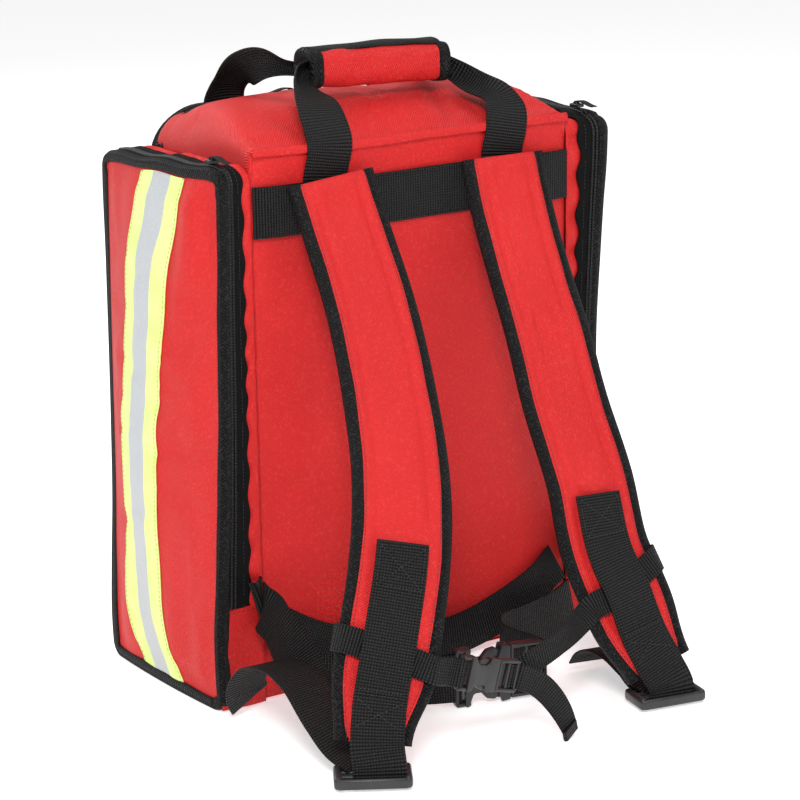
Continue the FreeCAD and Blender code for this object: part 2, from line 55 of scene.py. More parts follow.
# ---------------------------------------------------------------- sizes read from the frame
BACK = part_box("back_panel")[0].y
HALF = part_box("back_panel")[1].x
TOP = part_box("back_panel")[1].z
ZIP_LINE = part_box("main_zip_fixed")[1].y
LID_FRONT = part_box("front_lid")[1].y
POCKET_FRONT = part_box("right_side_lower")[1].y
POCKET_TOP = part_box("right_binding_flap")[1].z
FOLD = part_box("right_side_lower")[1].z
BAND_LOW, BAND_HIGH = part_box("top_band")
HI_VIS_LOW, HI_VIS_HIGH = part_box("right_tape_flap")
GRIP_LOW, GRIP_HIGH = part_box("grip_wrap")
WEBBING = 40 * MM
WEB_THICK = 1.7 * MM
CHEST_WEBBING = 20 * MM


# ---------------------------------------------------------------- camera, floor and light
def make_camera():
    azimuth, elevation, roll = math.radians(-33.5), math.radians(14.8), math.radians(-0.9)
    target, distance = Vector((0, -0.050, 0.2195)), 2.112
    back = Vector((math.sin(azimuth) * math.cos(elevation), -math.cos(azimuth) * math.cos(elevation),
                   math.sin(elevation)))
    data = bpy.data.cameras.new("camera")
    data.lens, data.sensor_width, data.clip_end = 117, 36, 50
    camera = bpy.data.objects.new("camera", data)
    camera.location = target + back * distance
    camera.rotation_mode = "QUATERNION"
    camera.rotation_quaternion = back.to_track_quat("Z", "Y") @ Quaternion((0, 0, 1), roll)
    bpy.context.scene.collection.objects.link(camera)
    bpy.context.scene.camera = camera


def area_light(name, place, aim, size, power):
    data = bpy.data.lights.new(name, "AREA")
    data.shape, data.size, data.energy = "DISK", size, power
    light = bpy.data.objects.new(name, data)
    light.location = place
    light.rotation_mode = "QUATERNION"
    light.rotation_quaternion = (Vector(place) - Vector(aim)).to_track_quat("Z", "Y")
    bpy.context.scene.collection.objects.link(light)


def make_stage():
    bpy.context.scene.view_settings.view_transform = "Standard"
    world = bpy.data.worlds.new("world")
    world.use_nodes = True
    world.node_tree.nodes["Background"].inputs["Color"].default_value = (1, 1, 1, 1)
    world.node_tree.nodes["Background"].inputs["Strength"].default_value = 0.42
    bpy.context.scene.world = world
    size = 12.0
    floor = mesh_object("floor", [(-size, -size, 0), (size, -size, 0), (size, size, 0), (-size, size, 0)],
                        [(0, 1, 2, 3)], smooth=False)
    material = bpy.data.materials.new("floor_paper")
    material.use_nodes = True
    shader = material.node_tree.nodes["Principled BSDF"]
    shader.inputs["Base Color"].default_value = (0.93, 0.93, 0.93, 1)
    shader.inputs["Roughness"].default_value = 0.9
    shader.inputs["Specular IOR Level"].default_value = 0.0
    shader.inputs["Emission Color"].default_value = (1, 1, 1, 1)
    shader.inputs["Emission Strength"].default_value = 0.50
    floor.data.materials.append(material)
    middle = (0, -0.05, 0.22)
    area_light("key", (-1.5, -2.2, 2.3), middle, 0.9, 68)
    area_light("fill", (1.9, -2.2, 0.9), middle, 1.6, 8)
    area_light("top", (0.2, 0.3, 2.6), middle, 1.6, 24)
    area_light("front", (-0.6, 2.4, 1.6), middle, 1.8, 26)


# ---------------------------------------------------------------- mesh helpers
def mesh_object(name, vertices, faces, flat=None, smooth=True):
    """A mesh object; flat holds each vertex's place on the unrolled cloth, in metres, for the weaves."""
    mesh = bpy.data.meshes.new(name)
    mesh.from_pydata([tuple(v) for v in vertices], [], [tuple(f) for f in faces])
    if flat is not None:
        values = np.zeros((len(vertices), 3), np.float32)
        values[:, :2] = flat
        attribute = mesh.attributes.new("cloth", "FLOAT_VECTOR", "POINT")
        attribute.data.foreach_set("vector", values.ravel())
    if smooth:
        mesh.polygons.foreach_set("use_smooth", [True] * len(mesh.polygons))
    mesh.update()
    obj = bpy.data.objects.new(name, mesh)
    bpy.context.scene.collection.objects.link(obj)
    return obj


def unit(v):
    v = np.asarray(v, float)
    return v / np.maximum(np.linalg.norm(v, axis=-1, keepdims=True), 1e-12)


def smoothstep(x):
    x = np.clip(x, 0, 1)
    return x * x * (3 - 2 * x)


def smooth_path(rows, step):
    """A smooth curve through rows of numbers whose first three are a point, and the length along it."""
    rows = np.array(rows, float)
    knots = np.r_[0, np.cumsum(np.linalg.norm(np.diff(rows[:, :3], axis=0), axis=1))]
    slopes = np.gradient(rows, knots, axis=0)
    along = np.linspace(0, knots[-1], max(3, int(round(knots[-1] / step)) + 1))
    i = np.clip(np.searchsorted(knots, along, side="right") - 1, 0, len(knots) - 2)
    gap = (knots[i + 1] - knots[i])[:, None]
    a = (along[:, None] - knots[i][:, None]) / gap
    made = ((2 * a ** 3 - 3 * a ** 2 + 1) * rows[i] + (a ** 3 - 2 * a ** 2 + a) * gap * slopes[i]
            + (3 * a ** 2 - 2 * a ** 3) * rows[i + 1] + (a ** 3 - a ** 2) * gap * slopes[i + 1])
    length = np.r_[0, np.cumsum(np.linalg.norm(np.diff(made[:, :3], axis=0), axis=1))]
    return made, length


def frames_along(points, across, closed=False):
    """Directions across and out of a strap at each of its points."""
    if closed:
        ahead = unit(np.roll(points, -1, 0) - np.roll(points, 1, 0))
    else:
        ahead = unit(np.gradient(points, axis=0))
    across = across - ahead * np.sum(across * ahead, 1, keepdims=True)
    across = unit(across)
    return across, unit(np.cross(ahead, across))


def sweep(name, points, across, length, profiles, closed=False):
    """A closed solid swept along points; profiles is one outline, or one per point, of (across, out) pairs."""
    across, out = frames_along(points, across, closed)
    profiles = np.asarray(profiles, float)
    if profiles.ndim == 2:
        profiles = np.repeat(profiles[None], len(points), 0)
    count, sides = profiles.shape[:2]
    vertices = (points[:, None] + across[:, None] * profiles[..., :1] + out[:, None] * profiles[..., 1:2])
    flat = np.stack([profiles[..., 0], np.repeat(length[:, None], sides, 1)], -1)
    faces = []
    for i in range(count if closed else count - 1):
        j = (i + 1) % count
        for k in range(sides):
            m = (k + 1) % sides
            faces.append((i * sides + k, i * sides + m, j * sides + m, j * sides + k))
    if not closed:
        faces.append(tuple(reversed(range(sides))))
        faces.append(tuple((count - 1) * sides + k for k in range(sides)))
    return mesh_object(name, vertices.reshape(-1, 3), faces, flat.reshape(-1, 2))


def flat_profile(width, thick, crown=0.0, cells=8):
    """Outline of flat webbing with soft edges: across, out."""
    edge = thick * 0.5
    a = np.linspace(-1, 1, cells + 1)
    upper = [(x * (width / 2 - edge * 0.6), thick / 2 + crown * (1 - x * x)) for x in a]
    lower = [(x * (width / 2 - edge * 0.6), -thick / 2 + crown * (1 - x * x)) for x in a[::-1]]
    return np.array([(-width / 2, 0)] + upper + [(width / 2, 0)] + lower)


def webbing(name, rows, width, thick=WEB_THICK, step=3 * MM, waves=0.0):
    """Flat webbing through rows of (point, direction across); millimetres."""
    made, length = smooth_path(np.array(rows, float) * ([MM] * 3 + [1] * 3), step)
    points, across = made[:, :3], unit(made[:, 3:6])
    if waves:
        _, out = frames_along(points, across)
        swing = np.sin(length / 0.037 + 1.3) * smoothstep(length / 0.03) * waves
        points = points + out * (swing * smoothstep((length[-1] - length) / 0.03))[:, None]
    profiles = np.repeat(flat_profile(width, thick)[None], len(points), 0)
    return sweep(name, points, across, length, profiles)


def tube_faces(rings, n):
    """Faces of a tube of rings of n corners each, closed at both ends."""
    faces = [(i * n + k, i * n + (k + 1) % n, (i + 1) * n + (k + 1) % n, (i + 1) * n + k)
             for i in range(rings - 1) for k in range(n)]
    return faces + [tuple(range(n))[::-1], tuple((rings - 1) * n + k for k in range(n))]


def oval(wide, high, count):
    """Cross section of a coil or a rolled edge."""
    return [(wide * math.cos(a), high * math.sin(a)) for a in np.linspace(0, 2 * math.pi, count)[:-1]]


def blank_grid(rows, columns):
    """Empty places and flat places for a grid of points."""
    return np.zeros((rows, columns, 3)), np.zeros((rows, columns, 2))


def grid_normals(points):
    du = np.gradient(points, axis=1)
    dv = np.gradient(points, axis=0)
    return unit(np.cross(du, dv))


def sheet_mesh(name, points, flat, thick, flip=False):
    """A cloth sheet with a real thickness from a grid of points, rows by columns; its face is the first layer."""
    rows, columns = points.shape[:2]
    normals = grid_normals(points) * (-1 if flip else 1)
    layers = np.concatenate([points.reshape(-1, 3), (points - normals * thick).reshape(-1, 3)])
    flats = np.concatenate([flat.reshape(-1, 2)] * 2)
    count = rows * columns
    faces = []

    def face(*ring):
        faces.append(tuple(reversed(ring)) if flip else ring)

    for r in range(rows - 1):
        for c in range(columns - 1):
            a, b = r * columns + c, r * columns + c + 1
            d, e = a + columns, b + columns
            face(a, b, e, d)
            face(count + a, count + d, count + e, count + b)
    rim = ([c for c in range(columns)] + [r * columns + columns - 1 for r in range(1, rows)]
           + [(rows - 1) * columns + c for c in range(columns - 2, -1, -1)]
           + [r * columns for r in range(rows - 2, 0, -1)])
    for a, b in zip(rim, rim[1:] + rim[:1]):
        face(b, a, count + a, count + b)
    return mesh_object(name, layers, faces, flats)


def settle(points, free, pressure=0.0, grow=0.02, cap=6 * MM, frames=16, stiff=8.0, bend=0.6):
    """Cloth simulation of a sheet held round its edge: spare cloth and pressure make its own folds.

    free, from 0 to 1, says how much of the movement each point keeps: none of it under bindings and bands.
    """
    rows, columns = points.shape[:2]
    faces = [(r * columns + c, r * columns + c + 1, (r + 1) * columns + c + 1, (r + 1) * columns + c)
             for r in range(rows - 1) for c in range(columns - 1)]
    obj = mesh_object("settling", points.reshape(-1, 3), faces)
    pinned = np.zeros((rows, columns), bool)
    pinned[0] = pinned[-1] = True
    pinned[:, 0] = pinned[:, -1] = True
    group = obj.vertex_groups.new(name="held")
    group.add([int(i) for i in np.flatnonzero(pinned.ravel())], 1.0, "REPLACE")
    cloth = obj.modifiers.new("cloth", "CLOTH")
    made = cloth.settings
    made.quality = 5
    made.mass = 0.25
    made.tension_stiffness = made.compression_stiffness = stiff
    made.shear_stiffness = stiff * 0.5
    made.bending_stiffness = bend
    made.air_damping = 1.5
    made.vertex_group_mass = "held"
    made.shrink_min = -grow
    made.effector_weights.gravity = 0
    if pressure:
        made.use_pressure = True
        made.uniform_pressure_force = pressure
    cloth.collision_settings.use_collision = False
    cloth.point_cache.frame_start, cloth.point_cache.frame_end = 1, frames
    scene = bpy.context.scene
    for f in range(1, frames + 1):
        scene.frame_set(f)
    shown = obj.evaluated_get(bpy.context.evaluated_depsgraph_get()).data
    moved = np.zeros(rows * columns * 3, np.float32)
    shown.vertices.foreach_get("co", moved)
    moved = moved.reshape(rows, columns, 3).astype(float)
    bpy.data.objects.remove(obj)
    scene.frame_set(1)
    shift = moved - points
    size = np.linalg.norm(shift, axis=-1, keepdims=True)
    return points + shift * np.minimum(1, cap / np.maximum(size, 1e-9)) * free[..., None]


def ripple(a, b, seed, waves=5, scale=0.1):
    """Smooth made-up unevenness over a sheet, from a few long waves; about -1 to 1."""
    draw = np.random.default_rng(seed)
    total = np.zeros(np.broadcast(a, b).shape)
    for _ in range(waves):
        angle, phase = draw.uniform(0, math.pi), draw.uniform(0, 2 * math.pi)
        pitch = scale * draw.uniform(0.5, 1.5)
        total = total + np.sin((a * math.cos(angle) + b * math.sin(angle)) * 2 * math.pi / pitch + phase)
    return total / waves * 1.4


def stitches(name, points, normals, pitch=3.2 * MM, size=0.45 * MM, lift=0.3 * MM):
    """A row of thread stitches along a line of points."""
    points = np.asarray(points, float)
    length = np.r_[0, np.cumsum(np.linalg.norm(np.diff(points, axis=0), axis=1))]
    places = np.arange(pitch / 2, length[-1], pitch)
    vertices, faces = [], []
    ring = [(math.cos(t), math.sin(t)) for t in np.linspace(0, 2 * math.pi, 6, endpoint=False)]
    for place in places:
        ends = [np.array([np.interp(place + s * pitch * 0.33, length, points[:, k]) for k in range(3)])
                for s in (-1, 1)]
        out = unit([np.interp(place, length, normals[:, k]) for k in range(3)])
        ahead = unit(ends[1] - ends[0])
        side = unit(np.cross(ahead, out))
        base = len(vertices)
        for share, swell in ((0, 0.35), (0.25, 1), (0.75, 1), (1, 0.35)):
            middle = ends[0] * (1 - share) + ends[1] * share + out * lift
            for c, s in ring:
                vertices.append(middle + side * (c * size * swell) + out * (s * size * 0.7 * swell))
        for i in range(3):
            for k in range(6):
                m = (k + 1) % 6
                faces.append((base + i * 6 + k, base + i * 6 + m, base + i * 6 + 6 + m, base + i * 6 + 6 + k))
        faces.append(tuple(base + k for k in reversed(range(6))))
        faces.append(tuple(base + 18 + k for k in range(6)))
    return mesh_object(name, vertices, faces)


def finish_piece(obj, material, body, replaced=()):
    """Material, body and the CAD nodes that a piece stands for."""
    obj.data.materials.append(material)
    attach(obj, body)
    if replaced:
        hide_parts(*replaced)
    return obj


def bent_piece(obj, material, bodies, start, end, slot_name, replaced=()):
    """Material and the CAD nodes that a piece stands for, for a piece that spans a joint; it is baked where it lies
    and given no body.
    """
    obj.data.materials.append(material)
    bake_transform(obj)
    if replaced:
        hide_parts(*replaced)
    return obj


# ---------------------------------------------------------------- materials
class Paint:
    """A small builder for node materials."""

    def __init__(self, name):
        self.material = bpy.data.materials.new(name)
        self.material.use_nodes = True
        self.tree = self.material.node_tree
        self.shader = self.tree.nodes["Principled BSDF"]

    def put(self, socket, value):
        if isinstance(value, bpy.types.NodeSocket):
            self.tree.links.new(value, socket)
        elif isinstance(value, (tuple, list)) and len(value) == 3 and socket.type == "RGBA":
            socket.default_value = (*value, 1)
        else:
            socket.default_value = value

    def set(self, **values):
        for name, value in values.items():
            self.put(self.shader.inputs[name.replace("_", " ")], value)

    def math(self, operation, *values):
        node = self.tree.nodes.new("ShaderNodeMath")
        node.operation = operation
        for socket, value in zip(node.inputs, values):
            self.put(socket, value)
        return node.outputs[0]

    def cloth_place(self):
        """Across and along the unrolled cloth, in millimetres."""
        node = self.tree.nodes.new("ShaderNodeAttribute")
        node.attribute_name = "cloth"
        split = self.tree.nodes.new("ShaderNodeSeparateXYZ")
        self.tree.links.new(node.outputs["Vector"], split.inputs[0])
        return self.math("MULTIPLY", split.outputs[0], 1000), self.math("MULTIPLY", split.outputs[1], 1000)

    def wave(self, place, pitch, phase=0.0):
        turned = self.math("MULTIPLY_ADD", place, 2 * math.pi / pitch, phase)
        return self.math("SINE", turned)

    def noise(self, scale, detail=3.0, roughness=0.5):
        """Solid noise in the piece's own metres."""
        place = self.tree.nodes.new("ShaderNodeTexCoord")
        node = self.tree.nodes.new("ShaderNodeTexNoise")
        node.inputs["Scale"].default_value = scale
        node.inputs["Detail"].default_value = detail
        node.inputs["Roughness"].default_value = roughness
        self.tree.links.new(place.outputs["Object"], node.inputs["Vector"])
        return node.outputs[0]

    def ramp(self, value, low, high, out_low=0.0, out_high=1.0):
        node = self.tree.nodes.new("ShaderNodeMapRange")
        for socket, number in zip(node.inputs[1:5], (low, high, out_low, out_high)):
            socket.default_value = number
        self.put(node.inputs[0], value)
        return node.outputs[0]

    def mix(self, share, first, second):
        node = self.tree.nodes.new("ShaderNodeMix")
        node.data_type = "RGBA"
        self.put(node.inputs["Factor"], share)
        self.put(node.inputs[6], first)
        self.put(node.inputs[7], second)
        return node.outputs[2]

    def bump(self, height, distance, strength=1.0, below=None):
        node = self.tree.nodes.new("ShaderNodeBump")
        node.inputs["Strength"].default_value = strength
        node.inputs["Distance"].default_value = distance
        self.put(node.inputs["Height"], height)
        if below is not None:
            self.tree.links.new(below, node.inputs["Normal"])
        return node.outputs[0]

    def normal(self, value):
        self.tree.links.new(value, self.shader.inputs["Normal"])


def red_cloth():
    """Coated polyester: basket weave that catches the light, raised points painted lighter and dips darker (painted
    highlight and shade), soft lustre, light pinkish flecks of painted glint.
    """
    paint = Paint("red_polyester")
    u, v = paint.cloth_place()
    weave = paint.math("MULTIPLY", paint.wave(u, 2.3), paint.wave(v, 2.1))
    broad = paint.noise(9, 4)
    fine = paint.noise(420, 2)
    # painted highlight and painted shade: the weave's raised points are painted lighter and its dips darker
    painted_weave_light = paint.ramp(weave, -1.0, 1.0, 0.0, 1.0)
    colour = paint.mix(painted_weave_light, (0.46, 0.0035, 0.0065), (0.70, 0.0140, 0.0140))
    colour = paint.mix(paint.ramp(broad, 0.35, 0.75, 0.0, 0.35), colour, (0.80, 0.024, 0.022))
    # painted glints: small light pinkish flecks from fine noise
    colour = paint.mix(paint.ramp(fine, 0.52, 0.75, 0.0, 0.22), colour, (0.95, 0.11, 0.08))
    paint.set(Base_Color=colour, Roughness=paint.ramp(weave, -1.0, 1.0, 0.58, 0.40),
              Sheen_Weight=0.03, Sheen_Roughness=0.4, Specular_IOR_Level=0.30)
    paint.shader.inputs["Sheen Tint"].default_value = (1, 0.45, 0.4, 1)
    coarse = paint.bump(paint.noise(26, 2), 0.0022, 0.5)
    paint.normal(paint.bump(weave, 0.00030, 0.9, coarse))
    return paint.material


def black_webbing():
    """Ribbed polyester webbing: cords across it, crossed by lengthwise yarns, so that it reads as rows of beads; the
    beads are painted lighter and the gaps darker, painted highlight and shade.
    """
    paint = Paint("black_webbing")
    u, v = paint.cloth_place()
    rib = paint.math("ABSOLUTE", paint.wave(v, 4.6))
    yarn = paint.math("ABSOLUTE", paint.wave(u, 4.4))
    height = paint.math("MULTIPLY", rib, paint.math("MULTIPLY_ADD", yarn, 0.55, 0.45))
    dust = paint.noise(700, 2)
    # painted highlight on the raised beads and painted shade in the gaps, keyed to the same height as the bump
    colour = paint.mix(paint.ramp(height, 0.15, 1.0), (0.0006, 0.0006, 0.0008), (0.0250, 0.0242, 0.0240))
    colour = paint.mix(paint.ramp(dust, 0.55, 0.75, 0, 0.3), colour, (0.055, 0.053, 0.052))
    paint.set(Base_Color=colour, Roughness=paint.ramp(height, 0, 1, 0.75, 0.40), Specular_IOR_Level=0.20)
    paint.normal(paint.bump(height, 0.0014, 1.0))
    return paint.material


def black_binding():
    """Herringbone tape folded over the edges."""
    paint = Paint("black_binding")
    u, v = paint.cloth_place()
    zigzag = paint.math("PINGPONG", u, 3.6)
    height = paint.wave(paint.math("ADD", v, zigzag), 2.7)
    grain = paint.noise(520, 2)
    # painted highlight on the herringbone's raised yarns and painted shade in its hollows
    colour = paint.mix(paint.ramp(height, -0.6, 1), (0.0008, 0.0008, 0.0010), (0.0110, 0.0106, 0.0110))
    colour = paint.mix(paint.ramp(grain, 0.52, 0.72, 0, 0.5), colour, (0.055, 0.053, 0.053))
    paint.set(Base_Color=colour, Roughness=0.60, Specular_IOR_Level=0.16, Sheen_Weight=0.01)
    paint.normal(paint.bump(height, 0.0006, 0.9, paint.bump(grain, 0.0003, 0.6)))
    return paint.material


def zip_tape():
    """Fine woven zip tape."""
    paint = Paint("zip_tape")
    u, v = paint.cloth_place()
    weave = paint.wave(paint.math("ADD", paint.math("MULTIPLY", u, 0.6), v), 1.1)
    grain = paint.noise(600, 2)
    # painted highlight on the weave's raised threads and painted shade in its hollows
    colour = paint.mix(paint.ramp(weave, -1, 1), (0.0010, 0.0010, 0.0012), (0.007, 0.007, 0.0075))
    paint.set(Base_Color=colour, Roughness=0.75, Specular_IOR_Level=0.12)
    paint.normal(paint.bump(weave, 0.00025, 0.7, paint.bump(grain, 0.0002, 0.5)))
    return paint.material


def zip_coil():
    """Nylon coil: close turns with a soft shine."""
    paint = Paint("zip_coil")
    u, v = paint.cloth_place()
    turns = paint.wave(v, 2.3)
    # painted highlight on the crest of each turn and painted shade between turns
    colour = paint.mix(paint.ramp(turns, -1, 1), (0.002, 0.002, 0.0024), (0.020, 0.020, 0.022))
    paint.set(Base_Color=colour, Roughness=0.36, Specular_IOR_Level=0.40)
    paint.normal(paint.bump(turns, 0.0008, 1.0))
    return paint.material


def moulded_plastic():
    """Dark acetal with a fine spark-eroded grain and broad rubbed patches, a little lighter and rougher."""
    paint = Paint("black_plastic")
    grain = paint.noise(1400, 2)
    broad = paint.noise(60, 3)
    colour = paint.mix(paint.ramp(broad, 0.35, 0.7), (0.014, 0.014, 0.015), (0.024, 0.024, 0.026))
    paint.set(Base_Color=colour, Roughness=paint.ramp(broad, 0.3, 0.7, 0.30, 0.42), Specular_IOR_Level=0.5)
    paint.normal(paint.bump(grain, 0.00012, 0.5))
    return paint.material


def painted_metal():
    """Black lacquered zip sliders, a little rubbed."""
    paint = Paint("black_metal")
    rub = paint.noise(300, 3)
    colour = paint.mix(paint.ramp(rub, 0.6, 0.8), (0.015, 0.015, 0.016), (0.12, 0.12, 0.12))
    paint.set(Base_Color=colour, Roughness=paint.ramp(rub, 0.3, 0.8, 0.28, 0.45), Metallic=0.35)
    paint.normal(paint.bump(rub, 0.0001, 0.4))
    return paint.material


def hi_vis_tape():
    """Fluorescent yellow tape with a silver glass-bead stripe along its middle."""
    paint = Paint("hi_vis_tape")
    u, v = paint.cloth_place()
    away = paint.math("ABSOLUTE", u)
    silver = paint.math("LESS_THAN", away, 12.0)
    beads = paint.noise(2500, 1)
    cloudy = paint.noise(45, 3)
    knit = paint.math("MULTIPLY", paint.wave(u, 1.0), paint.wave(v, 1.0))
    grey = paint.mix(paint.ramp(beads, 0.35, 0.65), (0.40, 0.42, 0.44), (0.58, 0.60, 0.62))
    yellow = paint.mix(paint.ramp(cloudy, 0.3, 0.7), (0.72, 0.90, 0.26), (0.80, 0.96, 0.36))
    yellow = paint.mix(paint.ramp(knit, -1, 1, 0, 0.15), yellow, (0.58, 0.80, 0.18))
    paint.set(Base_Color=paint.mix(silver, yellow, grey), Specular_IOR_Level=0.35,
              Roughness=paint.math("MULTIPLY_ADD", silver, -0.18, 0.62))
    paint.normal(paint.bump(knit, 0.0001, 0.5, paint.bump(cloudy, 0.0008, 0.5)))
    return paint.material


def thread(name, colour):
    paint = Paint(name)
    twist = paint.noise(1800, 1)
    paint.set(Base_Color=paint.mix(twist, tuple(c * 0.6 for c in colour), colour), Roughness=0.6)
    return paint.material


# ---------------------------------------------------------------- side pockets
# distance of the pocket's two bound edges and of its belly from the middle, by height; millimetres
NEAR_EDGE = {-1: ((0, 189), (60, 190), (94, 188), (174, 183), (238, 180), (308, 178), (369, 176), (421, 175),
                  (440, 174)),
             1: ((0, 186), (90, 184), (180, 181), (257, 180), (324, 184), (366, 187), (399, 190), (431, 191),
                 (440, 191))}
FAR_EDGE = {-1: ((0, 193), (30, 194), (82, 192), (133, 189), (201, 187), (335, 185), (423, 184), (440, 183)),
            1: ((0, 190), (100, 190), (200, 188), (335, 187), (423, 186), (440, 185))}
BELLY = ((0, 194), (60, 197), (120, 199), (215, 199), (330, 193), (400, 187), (440, 184))
# height of the panel's top: near edge, middle, far edge
MOUTH = {-1: (426.5, 426.0, 423.0), 1: (434.0, 440.0, 434.0)}
TAPE_LINE = ((0, 3), (20, 13), (50, 23), (91, 27), (143, 26), (212, 23), (289, 18), (330, 15), (385, 2), (440, -6))
CORNER = 10 * MM


def curve(table, z):
    heights, values = zip(*table)
    fine = np.linspace(heights[0], heights[-1], 120)
    slopes = np.gradient(values, heights)
    i = np.clip(np.searchsorted(heights, fine, side="right") - 1, 0, len(heights) - 2)
    heights, values = np.array(heights, float), np.array(values, float)
    gap = heights[i + 1] - heights[i]
    a = (fine - heights[i]) / gap
    made = ((2 * a ** 3 - 3 * a ** 2 + 1) * values[i] + (a ** 3 - 2 * a ** 2 + a) * gap * slopes[i]
            + (3 * a ** 2 - 2 * a ** 3) * values[i + 1] + (a ** 3 - a ** 2) * gap * slopes[i + 1])
    return np.interp(np.asarray(z) / MM, fine, made) * MM


def panel_x(y, z, side):
    """How far out the side panel's cloth lies, at a depth and height."""
    t = (y - BACK) / (POCKET_FRONT - BACK)
    near, belly, far = curve(NEAR_EDGE[side], z), curve(BELLY, z), curve(FAR_EDGE[side], z)
    out = near * (1 - t) * (1 - 2 * t) + belly * 4 * t * (1 - t) + far * t * (2 * t - 1)
    inside = np.clip(np.minimum.reduce([y - BACK, POCKET_FRONT - y, z, POCKET_TOP - 7 * MM - z]) / (30 * MM), 0, 1)
    folds = ripple(y * 2.2, z * 0.6, 11 + side, 6, 0.11) * 2.0 * MM
    folds = folds + 3.0 * MM * np.exp(-((y + 0.035 + 0.12 * (z - 0.33)) / 0.010) ** 2) * smoothstep((z - 0.20) / 0.08)
    folds = folds - 2.6 * MM * np.exp(-((y + 0.050 + 0.18 * (z - 0.31)) / 0.009) ** 2) * smoothstep((z - 0.24) / 0.06)
    return out + folds * smoothstep(inside)


def panel_top(y, side):
    t = (y - BACK) / (POCKET_FRONT - BACK)
    near, middle, far = MOUTH[side]
    height = near * (1 - t) * (1 - 2 * t) + middle * 4 * t * (1 - t) + far * t * (2 * t - 1)
    return (height + 0.9 * np.sin(t * 17)) * MM


def panel_ring(side, step=3 * MM):
    """The side panel's outline from the foot of its near edge, up, over and down, and along the foot; closed."""
    points = []
    low, near, far = 2.0 * MM, BACK, POCKET_FRONT
    r = CORNER
    top = lambda y: panel_top(y, side)
    for z in np.arange(low + r, top(near) - r, step):
        points.append((near, z))
    for a in np.linspace(0, math.pi / 2, 7):
        points.append((near + r - r * math.cos(a), top(near) - r + r * math.sin(a)))
    for y in np.arange(near + r + step, far - r, step):
        points.append((y, top(y)))
    for a in np.linspace(0, math.pi / 2, 7):
        points.append((far - r + r * math.sin(a), top(far) - r + r * math.cos(a)))
    for z in np.arange(top(far) - r - step, low + r, -step):
        points.append((far, z))
    for a in np.linspace(0, math.pi / 2, 7):
        points.append((far - r + r * math.cos(a), low + r - r * math.sin(a)))
    for y in np.arange(far - r - step, near + r, -step):
        points.append((y, low))
    for a in np.linspace(0, math.pi / 2, 7)[:-1]:
        points.append((near + r - r * math.sin(a), low + r - r * math.cos(a)))
    return np.array(points)


def side_panel(side, word):
    """The pocket's outer panel, one sheet from foot to mouth, across the line where the zip ends."""
    rows, columns = 110, 46
    points, flat = blank_grid(rows, columns)
    low = 3 * MM
    for r, share in enumerate(np.linspace(0, 1, rows)):
        for c, t in enumerate(np.linspace(0, 1, columns)):
            y = BACK + (POCKET_FRONT - BACK) * t
            z = low + (panel_top(y, side) - 2 * MM - low) * share
            near_top, near_foot = panel_top(y, side) - 2 * MM - z, z - low
            end = min(near_top, near_foot)
            if end < CORNER:
                pull = CORNER - math.sqrt(max(0, CORNER ** 2 - (CORNER - end) ** 2))
                y = BACK + pull + (POCKET_FRONT - BACK - 2 * pull) * t
            points[r, c] = (side * panel_x(y, z, side), y, z)
            flat[r, c] = (y, z)
    margin = np.minimum.reduce([flat[..., 0] - BACK, POCKET_FRONT - flat[..., 0], flat[..., 1] - low,
                                POCKET_TOP - 10 * MM - flat[..., 1]])
    free = smoothstep((margin - 9 * MM) / (22 * MM))
    moved = settle(points, free, pressure=1.5 * side, grow=0.008, cap=3.5 * MM, frames=14, stiff=12, bend=2.0)
    moved = moved + (points - moved) * 0.15
    obj = sheet_mesh(word + "_side_panel", moved, flat, 1.2 * MM, flip=side < 0)
    bent_piece(obj, RED, ("pack", word + "_flap"), (0, 0, FOLD - 7 * MM), (0, 0, FOLD + 9 * MM), "red_cloth",
               (word + "_side_lower", word + "_side_flap"))
    return moved, flat


def surface_point(moved, y, z):
    """A point on the settled side panel nearest to a depth and height."""
    grid = moved.reshape(-1, 3)
    d = (grid[:, 1] - y) ** 2 + (grid[:, 2] - z) ** 2
    near = np.argsort(d)[:6]
    w = 1 / (d[near] + 1e-8)
    return np.array([np.sum(grid[near, 0] * w) / w.sum(), y, z])


def hi_vis(moved, side, word):
    """Yellow and silver tape laid over the side panel from foot to mouth."""
    width = (HI_VIS_HIGH.y - HI_VIS_LOW.y) * 1.07
    rows, columns = 150, 33
    points, flat = blank_grid(rows, columns)
    for r, share in enumerate(np.linspace(0, 1, rows)):
        base = 9 * MM + (POCKET_TOP - 20 * MM) * share
        line = float(curve(TAPE_LINE, base))
        sway = (1.4 * math.sin(base / 0.026) + 0.8 * math.sin(base / 0.0113 + 2)) * MM
        for c, t in enumerate(np.linspace(-0.5, 0.5, columns)):
            y = line + sway + t * width * (1 + 0.03 * math.sin(base / 0.04))
            z = min(base, float(panel_top(y, side)) - 7 * MM)
            place = surface_point(moved, y, z)
            lift = 0.9 * MM + 0.5 * MM * math.sin(base / 0.012) ** 2 * (1 - abs(2 * t) ** 3)
            points[r, c] = place + np.array([side * lift, 0, 0])
            flat[r, c] = (t * width, base)
    obj = sheet_mesh(word + "_hi_vis", points, flat, 0.7 * MM, flip=side < 0)
    bodies = ("pack", word + "_flap")
    fold = ((0, 0, FOLD - 7 * MM), (0, 0, FOLD + 9 * MM))
    bent_piece(obj, HI_VIS, bodies, *fold, "reflective_tape", (word + "_tape_lower", word + "_tape_flap"))
    outward = np.tile([side, 0.0, 0.0], (rows, 1))
    for name, column in (("near", 1), ("far", columns - 2)):
        seam = stitches("%s_tape_seam_%s" % (word, name), points[:, column], outward, 4.0 * MM, 0.3 * MM, 0.1 * MM)
        bent_piece(seam, LIME_THREAD, bodies, *fold, "reflective_tape")


